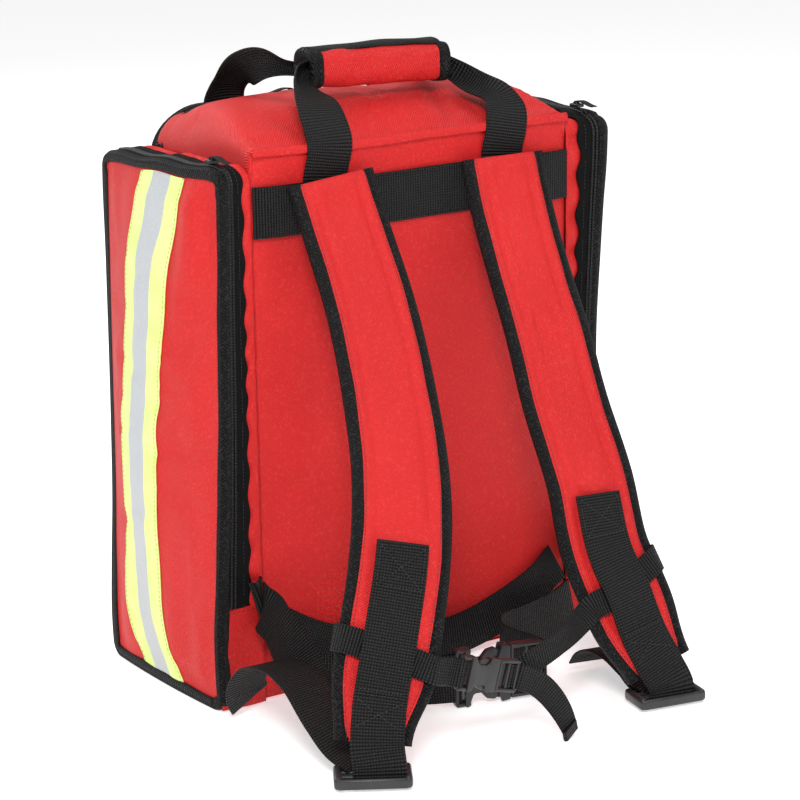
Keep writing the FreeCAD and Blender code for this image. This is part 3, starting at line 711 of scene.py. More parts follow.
def side_binding(side, word):
    """Herringbone tape folded round the side panel's edge, all the way round."""
    ring = panel_ring(side)
    count = len(ring)
    middle = np.array([(BACK + POCKET_FRONT) / 2, 0.215])
    points, across = np.zeros((count, 3)), np.zeros((count, 3))
    profiles = []
    length = np.r_[0, np.cumsum(np.linalg.norm(np.diff(ring, axis=0), axis=1))]
    for i, (y, z) in enumerate(ring):
        points[i] = (side * panel_x(np.float64(y), np.float64(z), side), y, z)
        across[i] = (side, 0, 0)
    wobble = (0.5 * np.sin(length / 0.021) + 0.35 * np.sin(length / 0.0097 + 1)) * MM
    ahead = unit(np.roll(points, -1, 0) - np.roll(points, 1, 0))
    across = unit(across - ahead * np.sum(across * ahead, 1, keepdims=True))
    out = unit(np.cross(ahead, across))
    centre = np.array([0, middle[0], middle[1]])
    inward = unit(np.where((np.sum((centre - points) * out, 1) > 0)[:, None], out, -out))
    sign = np.sign(np.sum(inward * out, 1))
    steps = 7
    for i in range(count):
        face, wall, thick = 8.0 * MM, 8.0 * MM, 1.5 * MM
        if ring[i][0] < BACK + 4 * MM and CORNER < ring[i][1] < 0.41:
            face = 4.0 * MM
        elif ring[i][1] > 0.41:
            face = 5.4 * MM
        swell = 1.0 * MM
        bow = wobble[i]
        pts = []
        for t in np.linspace(0, 1, steps):     # over the outer face towards the edge
            pts.append((thick + swell * math.sin(t * math.pi) * 0.7, (face + bow) * (1 - t) + 1.0 * MM * t))
        for a in np.linspace(0.15, math.pi / 2, 5):
            pts.append((thick * math.cos(a) + swell * 0.3, -2.2 * MM * math.sin(a) + 0.5 * MM))
        for t in np.linspace(0, 1, steps)[1:]:     # over the edge and down the mouth side
            pts.append((-(wall + bow * 0.5) * t, -2.2 * MM - swell * math.sin(t * math.pi) * 0.6))
        for t in np.linspace(1, 0, steps):
            pts.append((-(wall + bow * 0.5) * t - 0.1 * MM, -0.4 * MM))
        for t in np.linspace(0, 1, steps)[1:]:
            pts.append((-0.4 * MM, (face + bow) * t))
        profiles.append([(a, b * sign[i]) for a, b in pts])
    profiles = np.array(profiles)
    obj = ring_solid(word + "_binding", points, across, out, profiles, length)
    bent_piece(obj, BIND, ("pack", word + "_flap"), (0, 0, FOLD - 7 * MM), (0, 0, FOLD + 9 * MM), "black_binding",
               (word + "_binding_lower", word + "_binding_flap"))


def ring_solid(name, points, across, out, profiles, length):
    """A closed ring swept from profiles of (across, out) pairs; the unrolled place runs round the profile."""
    count, sides = profiles.shape[:2]
    vertices = points[:, None] + across[:, None] * profiles[..., :1] + out[:, None] * profiles[..., 1:2]
    girth = np.cumsum(np.r_[0, np.linalg.norm(np.diff(profiles[0], axis=0), axis=1)])
    flat = np.stack([np.repeat(girth[None], count, 0), np.repeat(length[:, None], sides, 1)], -1)
    faces = []
    for i in range(count):
        j = (i + 1) % count
        for k in range(sides):
            m = (k + 1) % sides
            faces.append((i * sides + k, i * sides + m, j * sides + m, j * sides + k))
    obj = mesh_object(name, vertices.reshape(-1, 3), faces, flat.reshape(-1, 2))
    fix_normals(obj)
    return obj


def fix_normals(obj):
    """Turns a closed mesh's faces outward."""
    made = bmesh.new()
    made.from_mesh(obj.data)
    bmesh.ops.recalc_face_normals(made, faces=made.faces)
    made.to_mesh(obj.data)
    made.free()
    obj.data.update()


def mouth_path(side, step=2.5 * MM, foot=None):
    """The pocket's mouth in the depth-height plane: up the near edge, over the top, down the far edge."""
    foot = FOLD if foot is None else foot
    top = lambda y: float(panel_top(y, side)) + 1.2 * MM
    r = 12 * MM
    points = [(BACK, z) for z in np.arange(foot, top(BACK) - r, step)]
    points += [(BACK + r - r * math.cos(a), top(BACK) - r + r * math.sin(a))
               for a in np.linspace(0, math.pi / 2, 9)]
    points += [(y, top(y)) for y in np.arange(BACK + r + step, POCKET_FRONT - r, step)]
    points += [(POCKET_FRONT - r + r * math.sin(a), top(POCKET_FRONT) - r + r * math.cos(a))
               for a in np.linspace(0, math.pi / 2, 9)]
    points += [(POCKET_FRONT, z) for z in np.arange(top(POCKET_FRONT) - r - step, foot, -step)]
    points = np.array(points)
    ahead = unit(np.gradient(points, axis=0))
    outward = np.stack([-ahead[:, 1], ahead[:, 0]], -1)
    length = np.r_[0, np.cumsum(np.linalg.norm(np.diff(points, axis=0), axis=1))]
    return points, outward, length


def mouth_strip(name, side, inner, outer, columns, shape, thick=1.0 * MM, flip=False, foot=None):
    """A strip of cloth along the pocket's mouth. inner and outer give its edges from 0, at the bag, to 1, at the
    panel's edge; shape(s, t) gives how far it stands out of the mouth, and how far each edge strays."""
    path, outward, length = mouth_path(side, foot=foot)
    count = len(path)
    points, flat = blank_grid(count, columns)
    bag = HALF + 0.3 * MM
    edge = np.array([panel_x(np.float64(y), np.float64(z), side) for y, z in path])
    for c, t in enumerate(np.linspace(0, 1, columns)):
        lift, stray = shape(length, t)
        share = inner + (outer - inner) * t
        x = bag + (edge - bag) * share + stray
        points[:, c, 0] = side * x
        points[:, c, 1:] = path + outward * lift[:, None]
        flat[:, c] = np.stack([x, length], -1)
    return sheet_mesh(name, points, flat, thick, flip=flip)


def gathers(s):
    """Uneven in and out of the gathered cloth along the mouth, shared by gusset and tape so that they meet."""
    return np.sin(s / 0.0045 + 1.1 * np.sin(s / 0.031))


def pocket_mouth(side, word):
    """Gusset with its pleats, scalloped zip tapes and coil round the pocket's mouth."""
    flip = side > 0

    def pleats(s, t):
        fold = gathers(s)
        return (2.0 * fold * math.sin(math.pi * min(1, t * 1.15)) - 1.2 * t) * MM, 0 * s

    gusset = mouth_strip(word + "_gusset", side, 0.0, 0.42, 9, pleats, flip=flip)
    finish_piece(gusset, RED, "pack", (word + "_pocket_gusset",))

    def scallops(s, t):
        fold = gathers(s)
        return (0.9 + 1.0 * fold * (1 - t)) * MM, (1.6 * fold - 0.5) * MM * (1 - t)

    tape = mouth_strip(word + "_zip_tape", side, 0.32, 0.70, 8, scallops, flip=flip)
    finish_piece(tape, TAPE, "pack", (word + "_pocket_zip",))

    def level(s, t):
        return 0.7 * MM + 0 * s, 0 * s

    flap_tape = mouth_strip(word + "_zip_tape_flap", side, 0.71, 0.90, 4, level, flip=flip, foot=FOLD + 2 * MM)
    finish_piece(flap_tape, TAPE, word + "_flap")
    path, outward, length = mouth_path(side)
    edge = np.array([panel_x(np.float64(y), np.float64(z), side) for y, z in path])
    bag = HALF + 0.3 * MM
    for name, share, body in (("coil_fixed", 0.655, "pack"), ("coil_flap", 0.745, word + "_flap")):
        x = side * (bag + (edge - bag) * share)
        points = np.column_stack([x, path + outward * 1.8 * MM])
        profile = oval(1.3 * MM, 1.2 * MM, 9)
        coil = sweep("%s_%s" % (word, name), points, np.tile([side, 0.0, 0.0], (len(points), 1)), length, profile)
        fix_normals(coil)
        finish_piece(coil, COIL, body)
    # stitching along the fixed tape
    seam = np.column_stack([side * (bag + (edge - bag) * 0.46), path + outward * 2.2 * MM])
    normals = np.column_stack([np.zeros(len(path)), outward])
    thread_row = stitches(word + "_zip_seam", seam, normals, 3.0 * MM, 0.25 * MM, 0.0)
    finish_piece(thread_row, BLACK_THREAD, "pack")


def pocket_foot(side, word):
    """The pocket's closed lower part: near and far cloth below the zip, its base, and the turned top edge."""
    for name, y, sign in (("near", BACK, -1), ("far", POCKET_FRONT, 1)):
        rows, columns = 22, 14
        points, flat = blank_grid(rows, columns)
        for r, z in enumerate(np.linspace(1.5 * MM, FOLD + 4 * MM, rows)):
            edge = float(panel_x(np.float64(y), np.float64(z), side)) - 1 * MM
            for c, t in enumerate(np.linspace(0, 1, columns)):
                x = HALF + 0.3 * MM + (edge - HALF) * t
                rise = (2.5 * MM * (1 - t)) * (r / rows)
                depth = 1.2 * MM + 1.0 * MM * math.sin(math.pi * t) * math.sin(math.pi * min(1, r / rows + 0.1))
                depth += 0.8 * MM * math.sin(x / 0.008 + z / 0.013)
                if r == rows - 1:
                    depth += 0.8 * MM
                points[r, c] = (side * x, y + sign * depth, z + rise)
                flat[r, c] = (x, z)
        flip = (side * sign) > 0
        obj = sheet_mesh("%s_foot_%s" % (word, name), points, flat, 1.0 * MM, flip=flip)
        finish_piece(obj, RED, "pack")
        seam = stitches("%s_foot_seam_%s" % (word, name), points[-3, :-1], np.tile([0, sign, 0], (columns - 1, 1)),
                        4.2 * MM, 0.35 * MM, 0.5 * MM)
        finish_piece(seam, BLACK_THREAD, "pack")
    rows, columns = 10, 20
    points, flat = blank_grid(rows, columns)
    for r, t in enumerate(np.linspace(0, 1, rows)):
        for c, share in enumerate(np.linspace(0, 1, columns)):
            y = BACK + (POCKET_FRONT - BACK) * share
            x = HALF + (float(panel_x(np.float64(y), np.float64(3 * MM), side)) - HALF - 1 * MM) * t
            points[r, c] = (side * x, y, 1.4 * MM + 0.5 * MM * math.sin(y / 0.02) ** 2)
            flat[r, c] = (x, y)
    finish_piece(sheet_mesh(word + "_pocket_base", points, flat, 1.0 * MM, flip=side < 0), RED, "pack")


def zip_slider(name, cad, place, along, outward, body):
    """Slider: waisted body, bridge and a folded tape pull, laid along the zip."""
    along, outward = unit(along), unit(outward)
    across = np.cross(outward, along)
    place = np.asarray(place, float)
    parts = []

    def put(local):
        return [place + along * a + across * b + outward * c for a, b, c in local]

    outline = [(-6, 2.6), (-3, 3.6), (1, 3.4), (4, 4.2), (6, 3.2), (6, -3.2), (4, -4.2), (1, -3.4), (-3, -3.6),
               (-6, -2.6)]
    rings = [(0.0, 0.86), (0.5, 1.0), (2.4, 1.0), (3.0, 0.84)]
    local, faces = [], []
    for height, scale in rings:
        local += [(a * scale * MM, b * scale * MM, height * MM) for a, b in outline]
    n = len(outline)
    faces = tube_faces(len(rings), n)
    parts.append((put(local), faces))
    bridge = [(-3.5, 3.0), (-2.2, 4.4), (0, 4.9), (2.2, 4.4), (3.5, 3.0), (2.6, 3.0), (1.8, 3.7), (0, 4.0),
              (-1.8, 3.7), (-2.6, 3.0)]
    local = [(a * MM, s * 1.1 * MM, c * MM) for s in (-1, 1) for a, c in bridge]
    n = len(bridge)
    faces = [(k, (k + 1) % n, n + (k + 1) % n, n + k) for k in range(n)]
    faces += [(k, n - 1 - k, n - 2 - k, k + 1) for k in range(4)]
    faces += [(n + k + 1, n + n - 2 - k, n + n - 1 - k, n + k) for k in range(4)]
    parts.append((put(local), faces))
    vertices, faces = [], []
    for verts, found in parts:
        base = len(vertices)
        vertices += verts
        faces += [tuple(base + k for k in f) for f in found]
    obj = mesh_object(name, vertices, faces, smooth=False)
    fix_normals(obj)
    finish_piece(obj, METAL, body, (cad,))
    # pull: a folded tape tab
    rows, columns = 12, 5
    points, flat = blank_grid(rows, columns)
    for r, t in enumerate(np.linspace(0, 1, rows)):
        for c, s in enumerate(np.linspace(-1, 1, columns)):
            a = (-1 + 25 * t) * MM
            lift = (4.2 - 1.4 * t + 1.1 * math.sin(t * 5)) * MM
            wide = (1.6 + 1.3 * smoothstep((t - 0.12) / 0.15)) * MM
            points[r, c] = place + along * a + across * (s * wide) + outward * lift
            flat[r, c] = (s * wide, a)
    tab = sheet_mesh(name + "_pull", points, flat, 0.9 * MM)
    fix_normals(tab)
    finish_piece(tab, WEB, body)


def pocket(side, word):
    moved, _ = side_panel(side, word)
    hi_vis(moved, side, word)
    side_binding(side, word)
    pocket_mouth(side, word)
    pocket_foot(side, word)
    low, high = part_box(word + "_slider")
    y = (low.y + high.y) / 2
    edge = float(panel_x(np.float64(y), np.float64(POCKET_TOP - 9 * MM), side))
    x = side * (HALF + (edge - HALF) * 0.70)
    zip_slider(word + "_pocket_slider", word + "_slider", (x, y, float(panel_top(y, side)) + 5.0 * MM),
               (0, -1, 0.03),
               (0, 0, 1), word + "_slider")


def pocket_back(side, word):
    """The pocket's own back where it reaches past the bag's wall, outside the main zip."""
    rows, columns = 30, 10
    start = ZIP_LINE - 14 * MM
    points, flat = blank_grid(rows, columns)
    for r, z in enumerate(np.linspace(2 * MM, float(panel_top(POCKET_FRONT, side)), rows)):
        for c, t in enumerate(np.linspace(0, 1, columns)):
            y = start + (POCKET_FRONT - start) * t
            points[r, c] = (side * (HALF + (1.0 + 3.4 * smoothstep(np.float64(t * 3))) * MM), y, z)
            flat[r, c] = (y, z)
    finish_piece(sheet_mesh(word + "_pocket_back", points, flat, 1.0 * MM, flip=side < 0), RED, "pack")


def bag_walls():
    """Side walls and base of the main bag, seen when a pocket or the lid is open."""
    for side, word in ((-1, "left"), (1, "right")):
        rows, columns = 40, 24
        points, flat = blank_grid(rows, columns)
        for r, z in enumerate(np.linspace(2 * MM, 429 * MM, rows)):
            for c, y in enumerate(np.linspace(BACK + 8 * MM, ZIP_LINE + 1 * MM, columns)):
                inside = min(1, min(y - BACK - 8 * MM, ZIP_LINE + 1 * MM - y, z - 2 * MM,
                                    429 * MM - z) / (30 * MM))
                uneven = ripple(np.float64(y), np.float64(z), 31 + side, 4, 0.14)
                bulge = (2.0 * MM + uneven * 1.4 * MM) * max(0, inside)
                points[r, c] = (side * (HALF - 0.6 * MM - 1.0 * MM + bulge), y, z)
                flat[r, c] = (y, z)
        obj = sheet_mesh(word + "_wall_cloth", points, flat, 2.0 * MM, flip=side < 0)
        finish_piece(obj, RED, "pack", (word + "_wall",))
        pocket_back(side, word)
    rows, columns = 24, 36
    points, flat = blank_grid(rows, columns)
    for r, y in enumerate(np.linspace(BACK + 6 * MM, LID_FRONT - 2 * MM, rows)):
        for c, x in enumerate(np.linspace(-HALF, HALF, columns)):
            dip = 1.6 * MM * math.cos(x / HALF * math.pi / 2) * math.cos((y - 0.014) / 0.09 * math.pi / 2)
            points[r, c] = (x, y, 2.8 * MM - max(0, dip))
            flat[r, c] = (x, y)
    finish_piece(sheet_mesh("base_cloth", points, flat, 1.0 * MM), RED, "pack", ("base_panel",))


# ---------------------------------------------------------------- main bag
def harness_panel():
    """Padded panel behind the straps, crowned, with rounded edges."""
    rows, columns = 90, 64
    low, high = 3 * MM, TOP + 1 * MM
    points, flat = blank_grid(rows, columns)
    for r, t in enumerate(np.linspace(0, 1, rows)):
        for c, s in enumerate(np.linspace(-1, 1, columns)):
            x = s * HALF
            foot = low + 6 * MM * smoothstep(np.float64((x + 110 * MM) / (60 * MM)))
            z = foot + (high - foot) * t
            edge = (min(1, (HALF - abs(x)) / (14 * MM)) * min(1, (z - low) / (22 * MM))
                    * min(1, (high + 4 * MM - z) / (14 * MM)))
            crown = 2.6 * MM * (1 - s * s) * math.sin(math.pi * t)
            sag = 1.2 * MM * ripple(np.float64(x), np.float64(z), 5, 5, 0.22)
            puff = (2.5 * MM + crown + sag * 0.6) * smoothstep(np.float64(edge)) - 2.5 * MM
            points[r, c] = (x, BACK - 1.0 * MM - puff * 0.75, z)
            flat[r, c] = (x, z)
    free = smoothstep((360 * MM - flat[..., 1]) / (40 * MM)) * smoothstep((flat[..., 1] - 85 * MM) / (40 * MM))
    free = free * smoothstep((HALF - np.abs(flat[..., 0])) / (20 * MM))
    moved = settle(points, free, pressure=2.5, grow=0.004, cap=3.0 * MM, frames=14, stiff=15, bend=4.0)
    obj = sheet_mesh("harness_panel_cloth", moved, flat, 1.2 * MM)
    fix_normals(obj)
    finish_piece(obj, RED, "pack")
    back = points.copy()
    back[..., 1] = BACK + 7.5 * MM
    back[..., 2] = np.linspace(1.5 * MM, high, rows)[:, None]      # the inner face reaches the base
    closed = padded_solid("harness_panel", moved + np.array([0, 0.6 * MM, 0]), back, flat)
    finish_piece(closed, RED, "pack", ("back_panel",))
    return moved


def padded_solid(name, front, rear, flat):
    """A closed pad from its two faces, joined round the rim."""
    rows, columns = front.shape[:2]
    vertices = np.concatenate([front.reshape(-1, 3), rear.reshape(-1, 3)])
    flats = np.concatenate([flat.reshape(-1, 2)] * 2)
    count = rows * columns
    faces = []
    for r in range(rows - 1):
        for c in range(columns - 1):
            a, b = r * columns + c, r * columns + c + 1
            d, e = a + columns, b + columns
            faces += [(a, b, e, d), (count + a, count + d, count + e, count + b)]
    rim = ([c for c in range(columns)] + [r * columns + columns - 1 for r in range(1, rows)]
           + [(rows - 1) * columns + c for c in range(columns - 2, -1, -1)]
           + [r * columns for r in range(rows - 2, 0, -1)])
    for a, b in zip(rim, rim[1:] + rim[:1]):
        faces.append((b, a, count + a, count + b))
    obj = mesh_object(name, vertices, faces, flats)
    fix_normals(obj)
    return obj


def dome_profile(y):
    """Corner radius and height of the padded top at a depth."""
    t = np.clip((y - BACK) / (ZIP_LINE - BACK), 0, 1)
    radius = (8 + 34 * smoothstep(t * 1.15)) * MM
    crest = TOP + (2 + 21 * math.sin(math.pi * min(1, t * 0.72 + 0.02)) ** 1.1) * MM if t < 0.66 else None
    if crest is None:
        crest = TOP + (23 - 9 * smoothstep(np.float64((t - 0.66) / 0.34))) * MM
    return radius, crest


def top_cover():
    """Padded top from the harness panel's edge, over a shallow dome, to the main zip."""
    rows, columns = 64, 90
    points, flat = blank_grid(rows, columns)
    foot = 424 * MM
    for r, t in enumerate(np.linspace(0, 1, rows)):
        y = BACK + 0.5 * MM + (ZIP_LINE - BACK) * t
        radius, crest = dome_profile(y)
        half = HALF - 0.5 * MM
        lift = crest - foot
        radius = min(radius, lift - 1 * MM)
        runs = [lift - radius, radius * math.pi / 2, 2 * (half - radius), radius * math.pi / 2, lift - radius]
        total = sum(runs)
        for c, s in enumerate(np.linspace(0, total, columns)):
            if s < runs[0]:
                x, z = -half, foot + s
            elif s < runs[0] + runs[1]:
                a = (s - runs[0]) / radius
                x, z = -half + radius - radius * math.cos(a), crest - radius + radius * math.sin(a)
            elif s < total - runs[0] - runs[1]:
                x, z = -half + radius + (s - runs[0] - runs[1]), crest
            elif s < total - runs[0]:
                a = (total - runs[0] - s) / radius
                x, z = half - radius + radius * math.cos(a), crest - radius + radius * math.sin(a)
            else:
                x, z = half, foot + (total - s)
            sag = 3.0 * MM * (1 - (x / half) ** 2) * (1 - smoothstep(np.float64(t * 6)))
            pucker = (2.0 * MM * math.sin(x / 0.017 + 1.4 * math.sin(x / 0.031) + 3.5 * t)
                      * (math.exp(-t / 0.22) - math.exp(-t / 0.03)) * min(1, (half - abs(x)) / 0.01))
            level = smoothstep(np.float64((z - 0.437) / 0.004))
            uneven = float(ripple(np.float64(x), np.float64(y), 3, 5, 0.13))
            z = z + (pucker - sag * 0.6 + 1.2 * MM * uneven) * level
            points[r, c] = (x, y, z)
            flat[r, c] = (s, y)
    reach = np.minimum.reduce([points[..., 1] - BACK, ZIP_LINE - 6 * MM - points[..., 1],
                               HALF - np.abs(points[..., 0])])
    free = smoothstep(reach / (18 * MM))
    moved = settle(points, free, pressure=2.0, grow=0.022, cap=6 * MM, frames=18, stiff=10, bend=0.8)
    obj = sheet_mesh("top_cover", moved, flat, 2.0 * MM)
    fix_normals(obj)
    finish_piece(obj, RED, "pack", ("top_panel",))
    # the turned lip along the seam with the harness panel
    xs = np.linspace(-HALF + 0.5 * MM, HALF - 0.5 * MM, 120)
    inner = np.clip(xs, -HALF + 13 * MM, HALF - 13 * MM)
    near = np.array([np.interp(inner, moved[0, :, 0], moved[0, :, k]) for k in range(3)]).T
    droop = (0.3 * np.sin(xs / 0.031) + 0.12 * np.sin(xs / 0.0083 + 1)) * MM
    span = 9
    padded = np.pad(near[:, 2], span, mode="edge")
    smoothed = np.convolve(padded, np.ones(2 * span + 1) / (2 * span + 1), mode="valid")
    height = np.minimum(smoothed, TOP + 3 * MM)
    points = np.column_stack([xs, np.full(120, BACK - 2.6 * MM), height - 2.6 * MM + droop])
    profile = [(3.4 * MM * math.copysign(abs(math.cos(a)) ** 0.7, math.cos(a)), 1.5 * MM * math.sin(a))
               for a in np.linspace(0, 2 * math.pi, 17)[:-1]]
    across = np.tile([0, 0.25, 1.0], (120, 1))
    lip = sweep("seam_lip", points, across, xs, [(a, b) for a, b in profile])
    fix_normals(lip)
    finish_piece(lip, RED, "pack")
    return moved


def main_zip():
    """Black zip tape over the top and down both sides, half on the bag, half on the lid, and two coils."""
    def outline(y, foot, step=4 * MM):
        radius, crest = dome_profile(min(y, ZIP_LINE))
        half = HALF - 0.5 * MM
        points = [(-half, z) for z in np.arange(foot, crest - radius, step)]
        points += [(-half + radius - radius * math.cos(a), crest - radius + radius * math.sin(a))
                   for a in np.linspace(0, math.pi / 2, 13)]
        points += [(x, crest) for x in np.arange(-half + radius + step, half - radius, step)]
        points += [(half - radius + radius * math.sin(a), crest - radius + radius * math.cos(a))
                   for a in np.linspace(0, math.pi / 2, 13)]
        points += [(half, z) for z in np.arange(crest - radius - step, foot, -step)]
        return np.array(points)

    line = outline(ZIP_LINE, 20 * MM)
    ahead = unit(np.gradient(line, axis=0))
    outward = np.stack([-ahead[:, 1], ahead[:, 0]], -1)
    length = np.r_[0, np.cumsum(np.linalg.norm(np.diff(line, axis=0), axis=1))]
    for name, start, end, body, cad, lift in (("main_zip_bag", -8, 0.4, "pack", "main_zip_fixed", 1.6),
                                              ("main_zip_cover", 1.2, 9, "lid", "main_zip_lid", 1.6)):
        points, flat = blank_grid(len(line), 5)
        for c, t in enumerate(np.linspace(0, 1, 5)):
            y = ZIP_LINE + (start + (end - start) * t) * MM
            wave = 0.5 * MM * np.sin(length / 0.009)
            spot = line + outward * (lift * MM + wave)[:, None]
            points[:, c] = np.column_stack([spot[:, 0], np.full(len(line), y), spot[:, 1]])
            flat[:, c] = np.stack([np.full(len(line), y), length], -1)
        tape = sheet_mesh(name, points, flat, 1.0 * MM)
        fix_normals(tape)
        finish_piece(tape, TAPE, body, (cad,))
        y = ZIP_LINE + (0.0 if body == "pack" else 2.0) * MM
        spots = line + outward * 2.6 * MM
        coil_line = np.column_stack([spots[:, 0], np.full(len(line), y), spots[:, 1]])
        profile = oval(1.1 * MM, 1.1 * MM, 9)
        coil = sweep(name + "_coil", coil_line, np.tile([0.0, 1.0, 0.0], (len(line), 1)), length, profile)
        fix_normals(coil)
        finish_piece(coil, COIL, body)
        if body == "pack":     # the tape's bound edge, the black line round the padded top
            edge = line + outward * 1.4 * MM
            bead = np.column_stack([edge[:, 0], np.full(len(line), ZIP_LINE - 7 * MM), edge[:, 1]])
            profile = oval(3.4 * MM, 2.3 * MM, 11)
            roll = sweep("main_zip_edge", bead, np.tile([0.0, 1.0, 0.0], (len(line), 1)), length, profile)
            fix_normals(roll)
            finish_piece(roll, BIND, "pack")
    for word, sign in (("left", -1), ("right", 1)):
        crest = dome_profile(ZIP_LINE)[1]
        place = (sign * 22 * MM, ZIP_LINE + 1 * MM, crest + 3.4 * MM)
        zip_slider("main_slider_%s_body" % word, "main_slider_" + word, place, (sign, 0, 0), (0, 0, 1),
                   "main_slider_" + word)


def lid():
    """Front lid: padded front face, rounded top corners and side gussets, open towards the bag."""
    radius, crest = dome_profile(ZIP_LINE)
    half, foot = HALF - 20 * MM, 8 * MM
    crest = crest - 13 * MM
    rows, columns = 80, 56
    front = np.zeros((rows, columns, 3))
    flat = np.zeros((rows, columns, 2))
    for r, t in enumerate(np.linspace(0, 1, rows)):
        z = foot + (crest - foot) * t
        reach = half
        from_top, from_foot = crest - z, z - foot
        if from_top < radius:
            reach = half - radius + math.sqrt(max(0, radius ** 2 - (radius - from_top) ** 2))
        corner = 16 * MM
        if from_foot < corner:
            reach = half - corner + math.sqrt(max(0, corner ** 2 - (corner - from_foot) ** 2))
        for c, s in enumerate(np.linspace(-1, 1, columns)):
            x = s * reach
            crown = 5.0 * MM * (1 - abs(s) ** 3) * min(1, from_top / (50 * MM), from_foot / (50 * MM))
            fold = 1.3 * MM * float(ripple(np.float64(x), np.float64(z), 21, 6, 0.17)) * min(1, (1 - abs(s)) * 5)
            front[r, c] = (x, LID_FRONT - 4 * MM + crown + fold, z)
            flat[r, c] = (x, z)
    margin = np.minimum(flat[..., 1] - foot, half - np.abs(flat[..., 0]))
    free = smoothstep(margin / (20 * MM))
    moved = settle(front, free, pressure=-2.0, grow=0.006, cap=4 * MM, frames=14, stiff=12, bend=2.0)
    rear = front.copy()
    rear[..., 1] = LID_FRONT - 9 * MM
    face = padded_solid("lid_face", moved, rear, flat)
    finish_piece(face, RED, "lid", ("front_lid",))
    # side gusset of the lid with its piping
    rim = [front[r, 0] for r in range(rows)] + [front[-1, c] for c in range(1, columns)]
    rim += [front[r, -1] for r in range(rows - 2, -1, -1)] + [front[0, c] for c in range(columns - 2, 0, -1)]
    rim = np.array(rim)
    rim[:, 1] = LID_FRONT - 4 * MM
    keep = [0]
    for i in range(1, len(rim)):
        if np.linalg.norm(rim[i] - rim[keep[-1]]) > 2.5 * MM:
            keep.append(i)
    rim = rim[keep]
    length = np.r_[0, np.cumsum(np.linalg.norm(np.diff(rim, axis=0), axis=1))]
    centre = np.array([0, 0, (crest + foot) / 2])
    count = len(rim)
    columns = 7
    points, flat = blank_grid(count + 1, columns)
    for i in range(count + 1):
        spot = rim[i % count]
        inward = unit(np.array([centre[0] - spot[0], 0, centre[2] - spot[2]]))
        spread = np.array([math.copysign(18.5 * MM, spot[0]) * min(1, abs(spot[0]) / (half * 0.72)), 0,
                           11.5 * MM * smoothstep(np.float64((spot[2] - crest + 60 * MM) / (60 * MM)))])
        for c, t in enumerate(np.linspace(0, 1, columns)):
            y = LID_FRONT - 4.5 * MM - (LID_FRONT - ZIP_LINE - 6 * MM) * t
            pull = 0.6 * MM - 3.0 * MM * math.sin(math.pi * t) + 0.6 * MM * math.sin(i / 3.1) * math.sin(math.pi * t)
            points[i, c] = (spot[0] + inward[0] * pull + spread[0] * t, y,
                            spot[2] + inward[2] * pull + spread[2] * t)
            flat[i, c] = (y, length[min(i, count - 1)])
    side = sheet_mesh("lid_gusset", points, flat, 1.2 * MM)
    fix_normals(side)
    finish_piece(side, RED, "lid")
    ahead = np.roll(rim, -1, 0) - np.roll(rim, 1, 0)
    profile = [(2.0 * MM * math.cos(a), 2.0 * MM * math.sin(a)) for a in np.linspace(0, 2 * math.pi, 11)[:-1]]
    piping = sweep("lid_piping", rim + np.array([0, 1 * MM, 0]), np.tile([0.0, 1.0, 0.0], (count, 1)), length,
                   profile,
                   closed=True)
    fix_normals(piping)
    finish_piece(piping, BIND, "lid")


def flat_bands():
    """Webbing across the harness panel, under the strap tops and across its foot."""
    height = (BAND_HIGH.z + BAND_LOW.z) / 2 / MM
    face = BACK / MM - 4.0
    up = (0, 0, 1)
    rows = [(x, face + (2.2 if abs(x) > 140 else 0), height + 0.4 * math.sin(x / 30), *up)
            for x in (-148.5, -140, -100, -60, -20, 20, 60, 100, 140, 148.5)]
    band = webbing("top_band_webbing", rows, WEBBING)
    finish_piece(band, WEB, "pack", ("top_band",))
    for name, offset in (("upper", 18.6 * MM), ("lower", -18.6 * MM)):
        line = np.array([(x * MM, (face - 0.9) * MM, height * MM + offset) for x in np.linspace(-146, 146, 60)])
        seam = stitches("top_band_seam_" + name, line, np.tile([0.0, -1, 0], (60, 1)), 3.4 * MM, 0.22 * MM,
                        0.1 * MM)
        finish_piece(seam, BLACK_THREAD, "pack")
    face = BACK / MM - 7
    rows = [(-138, face + 4, 61, 0, 0.1, 1), (-112, face, 46, 0, 0, 1), (-70, face - 1, 30, 0, -0.05, 1),
            (-20, face - 2, 21, 0, 0, 1), (30, face - 2, 21, 0, 0, 1), (75, face - 1, 32, 0, 0.05, 1),
            (112, face, 48, 0, 0, 1), (138, face + 4, 62, 0, 0.1, 1)]
    band = webbing("lower_band_webbing", rows, 36 * MM, waves=0.8 * MM)
    finish_piece(band, WEB, "pack", ("lower_band",))


# ---------------------------------------------------------------- shoulder straps
LEFT_LINE = ((-84, -85, 416), (-80, -100, 378), (-76, -128, 318), (-82, -161, 256), (-93, -190, 205),
             (-106, -210, 172), (-120, -225, 138), (-132, -235, 112), (-146, -245, 80), (-158, -254, 52),
             (-165, -260, 30))
RIGHT_LINE = ((78, -85, 416), (78, -97, 380), (78, -125, 321), (79, -142, 287), (79, -167, 231),
              (82, -195, 173), (81, -218, 118), (88, -232, 86), (95, -246, 52), (102, -256, 28))
LEFT_YAWS = (0, 0, -3, -7, -12, -17, -22, -26, -29, -31, -31)
RIGHT_YAWS = (0, 0, 0, -2, -4, -6, -8, -9, -11, -11)
LOCKS = {"left": ((-170, -263, 6.2), -31), "right": ((107, -261, 6.2), -11)}
PAD_WIDE, PAD_THICK = 76 * MM, 12 * MM
WEBBING_FROM = 161


def yaw(degrees):
    return np.array([math.cos(math.radians(degrees)), math.sin(math.radians(degrees)), 0])


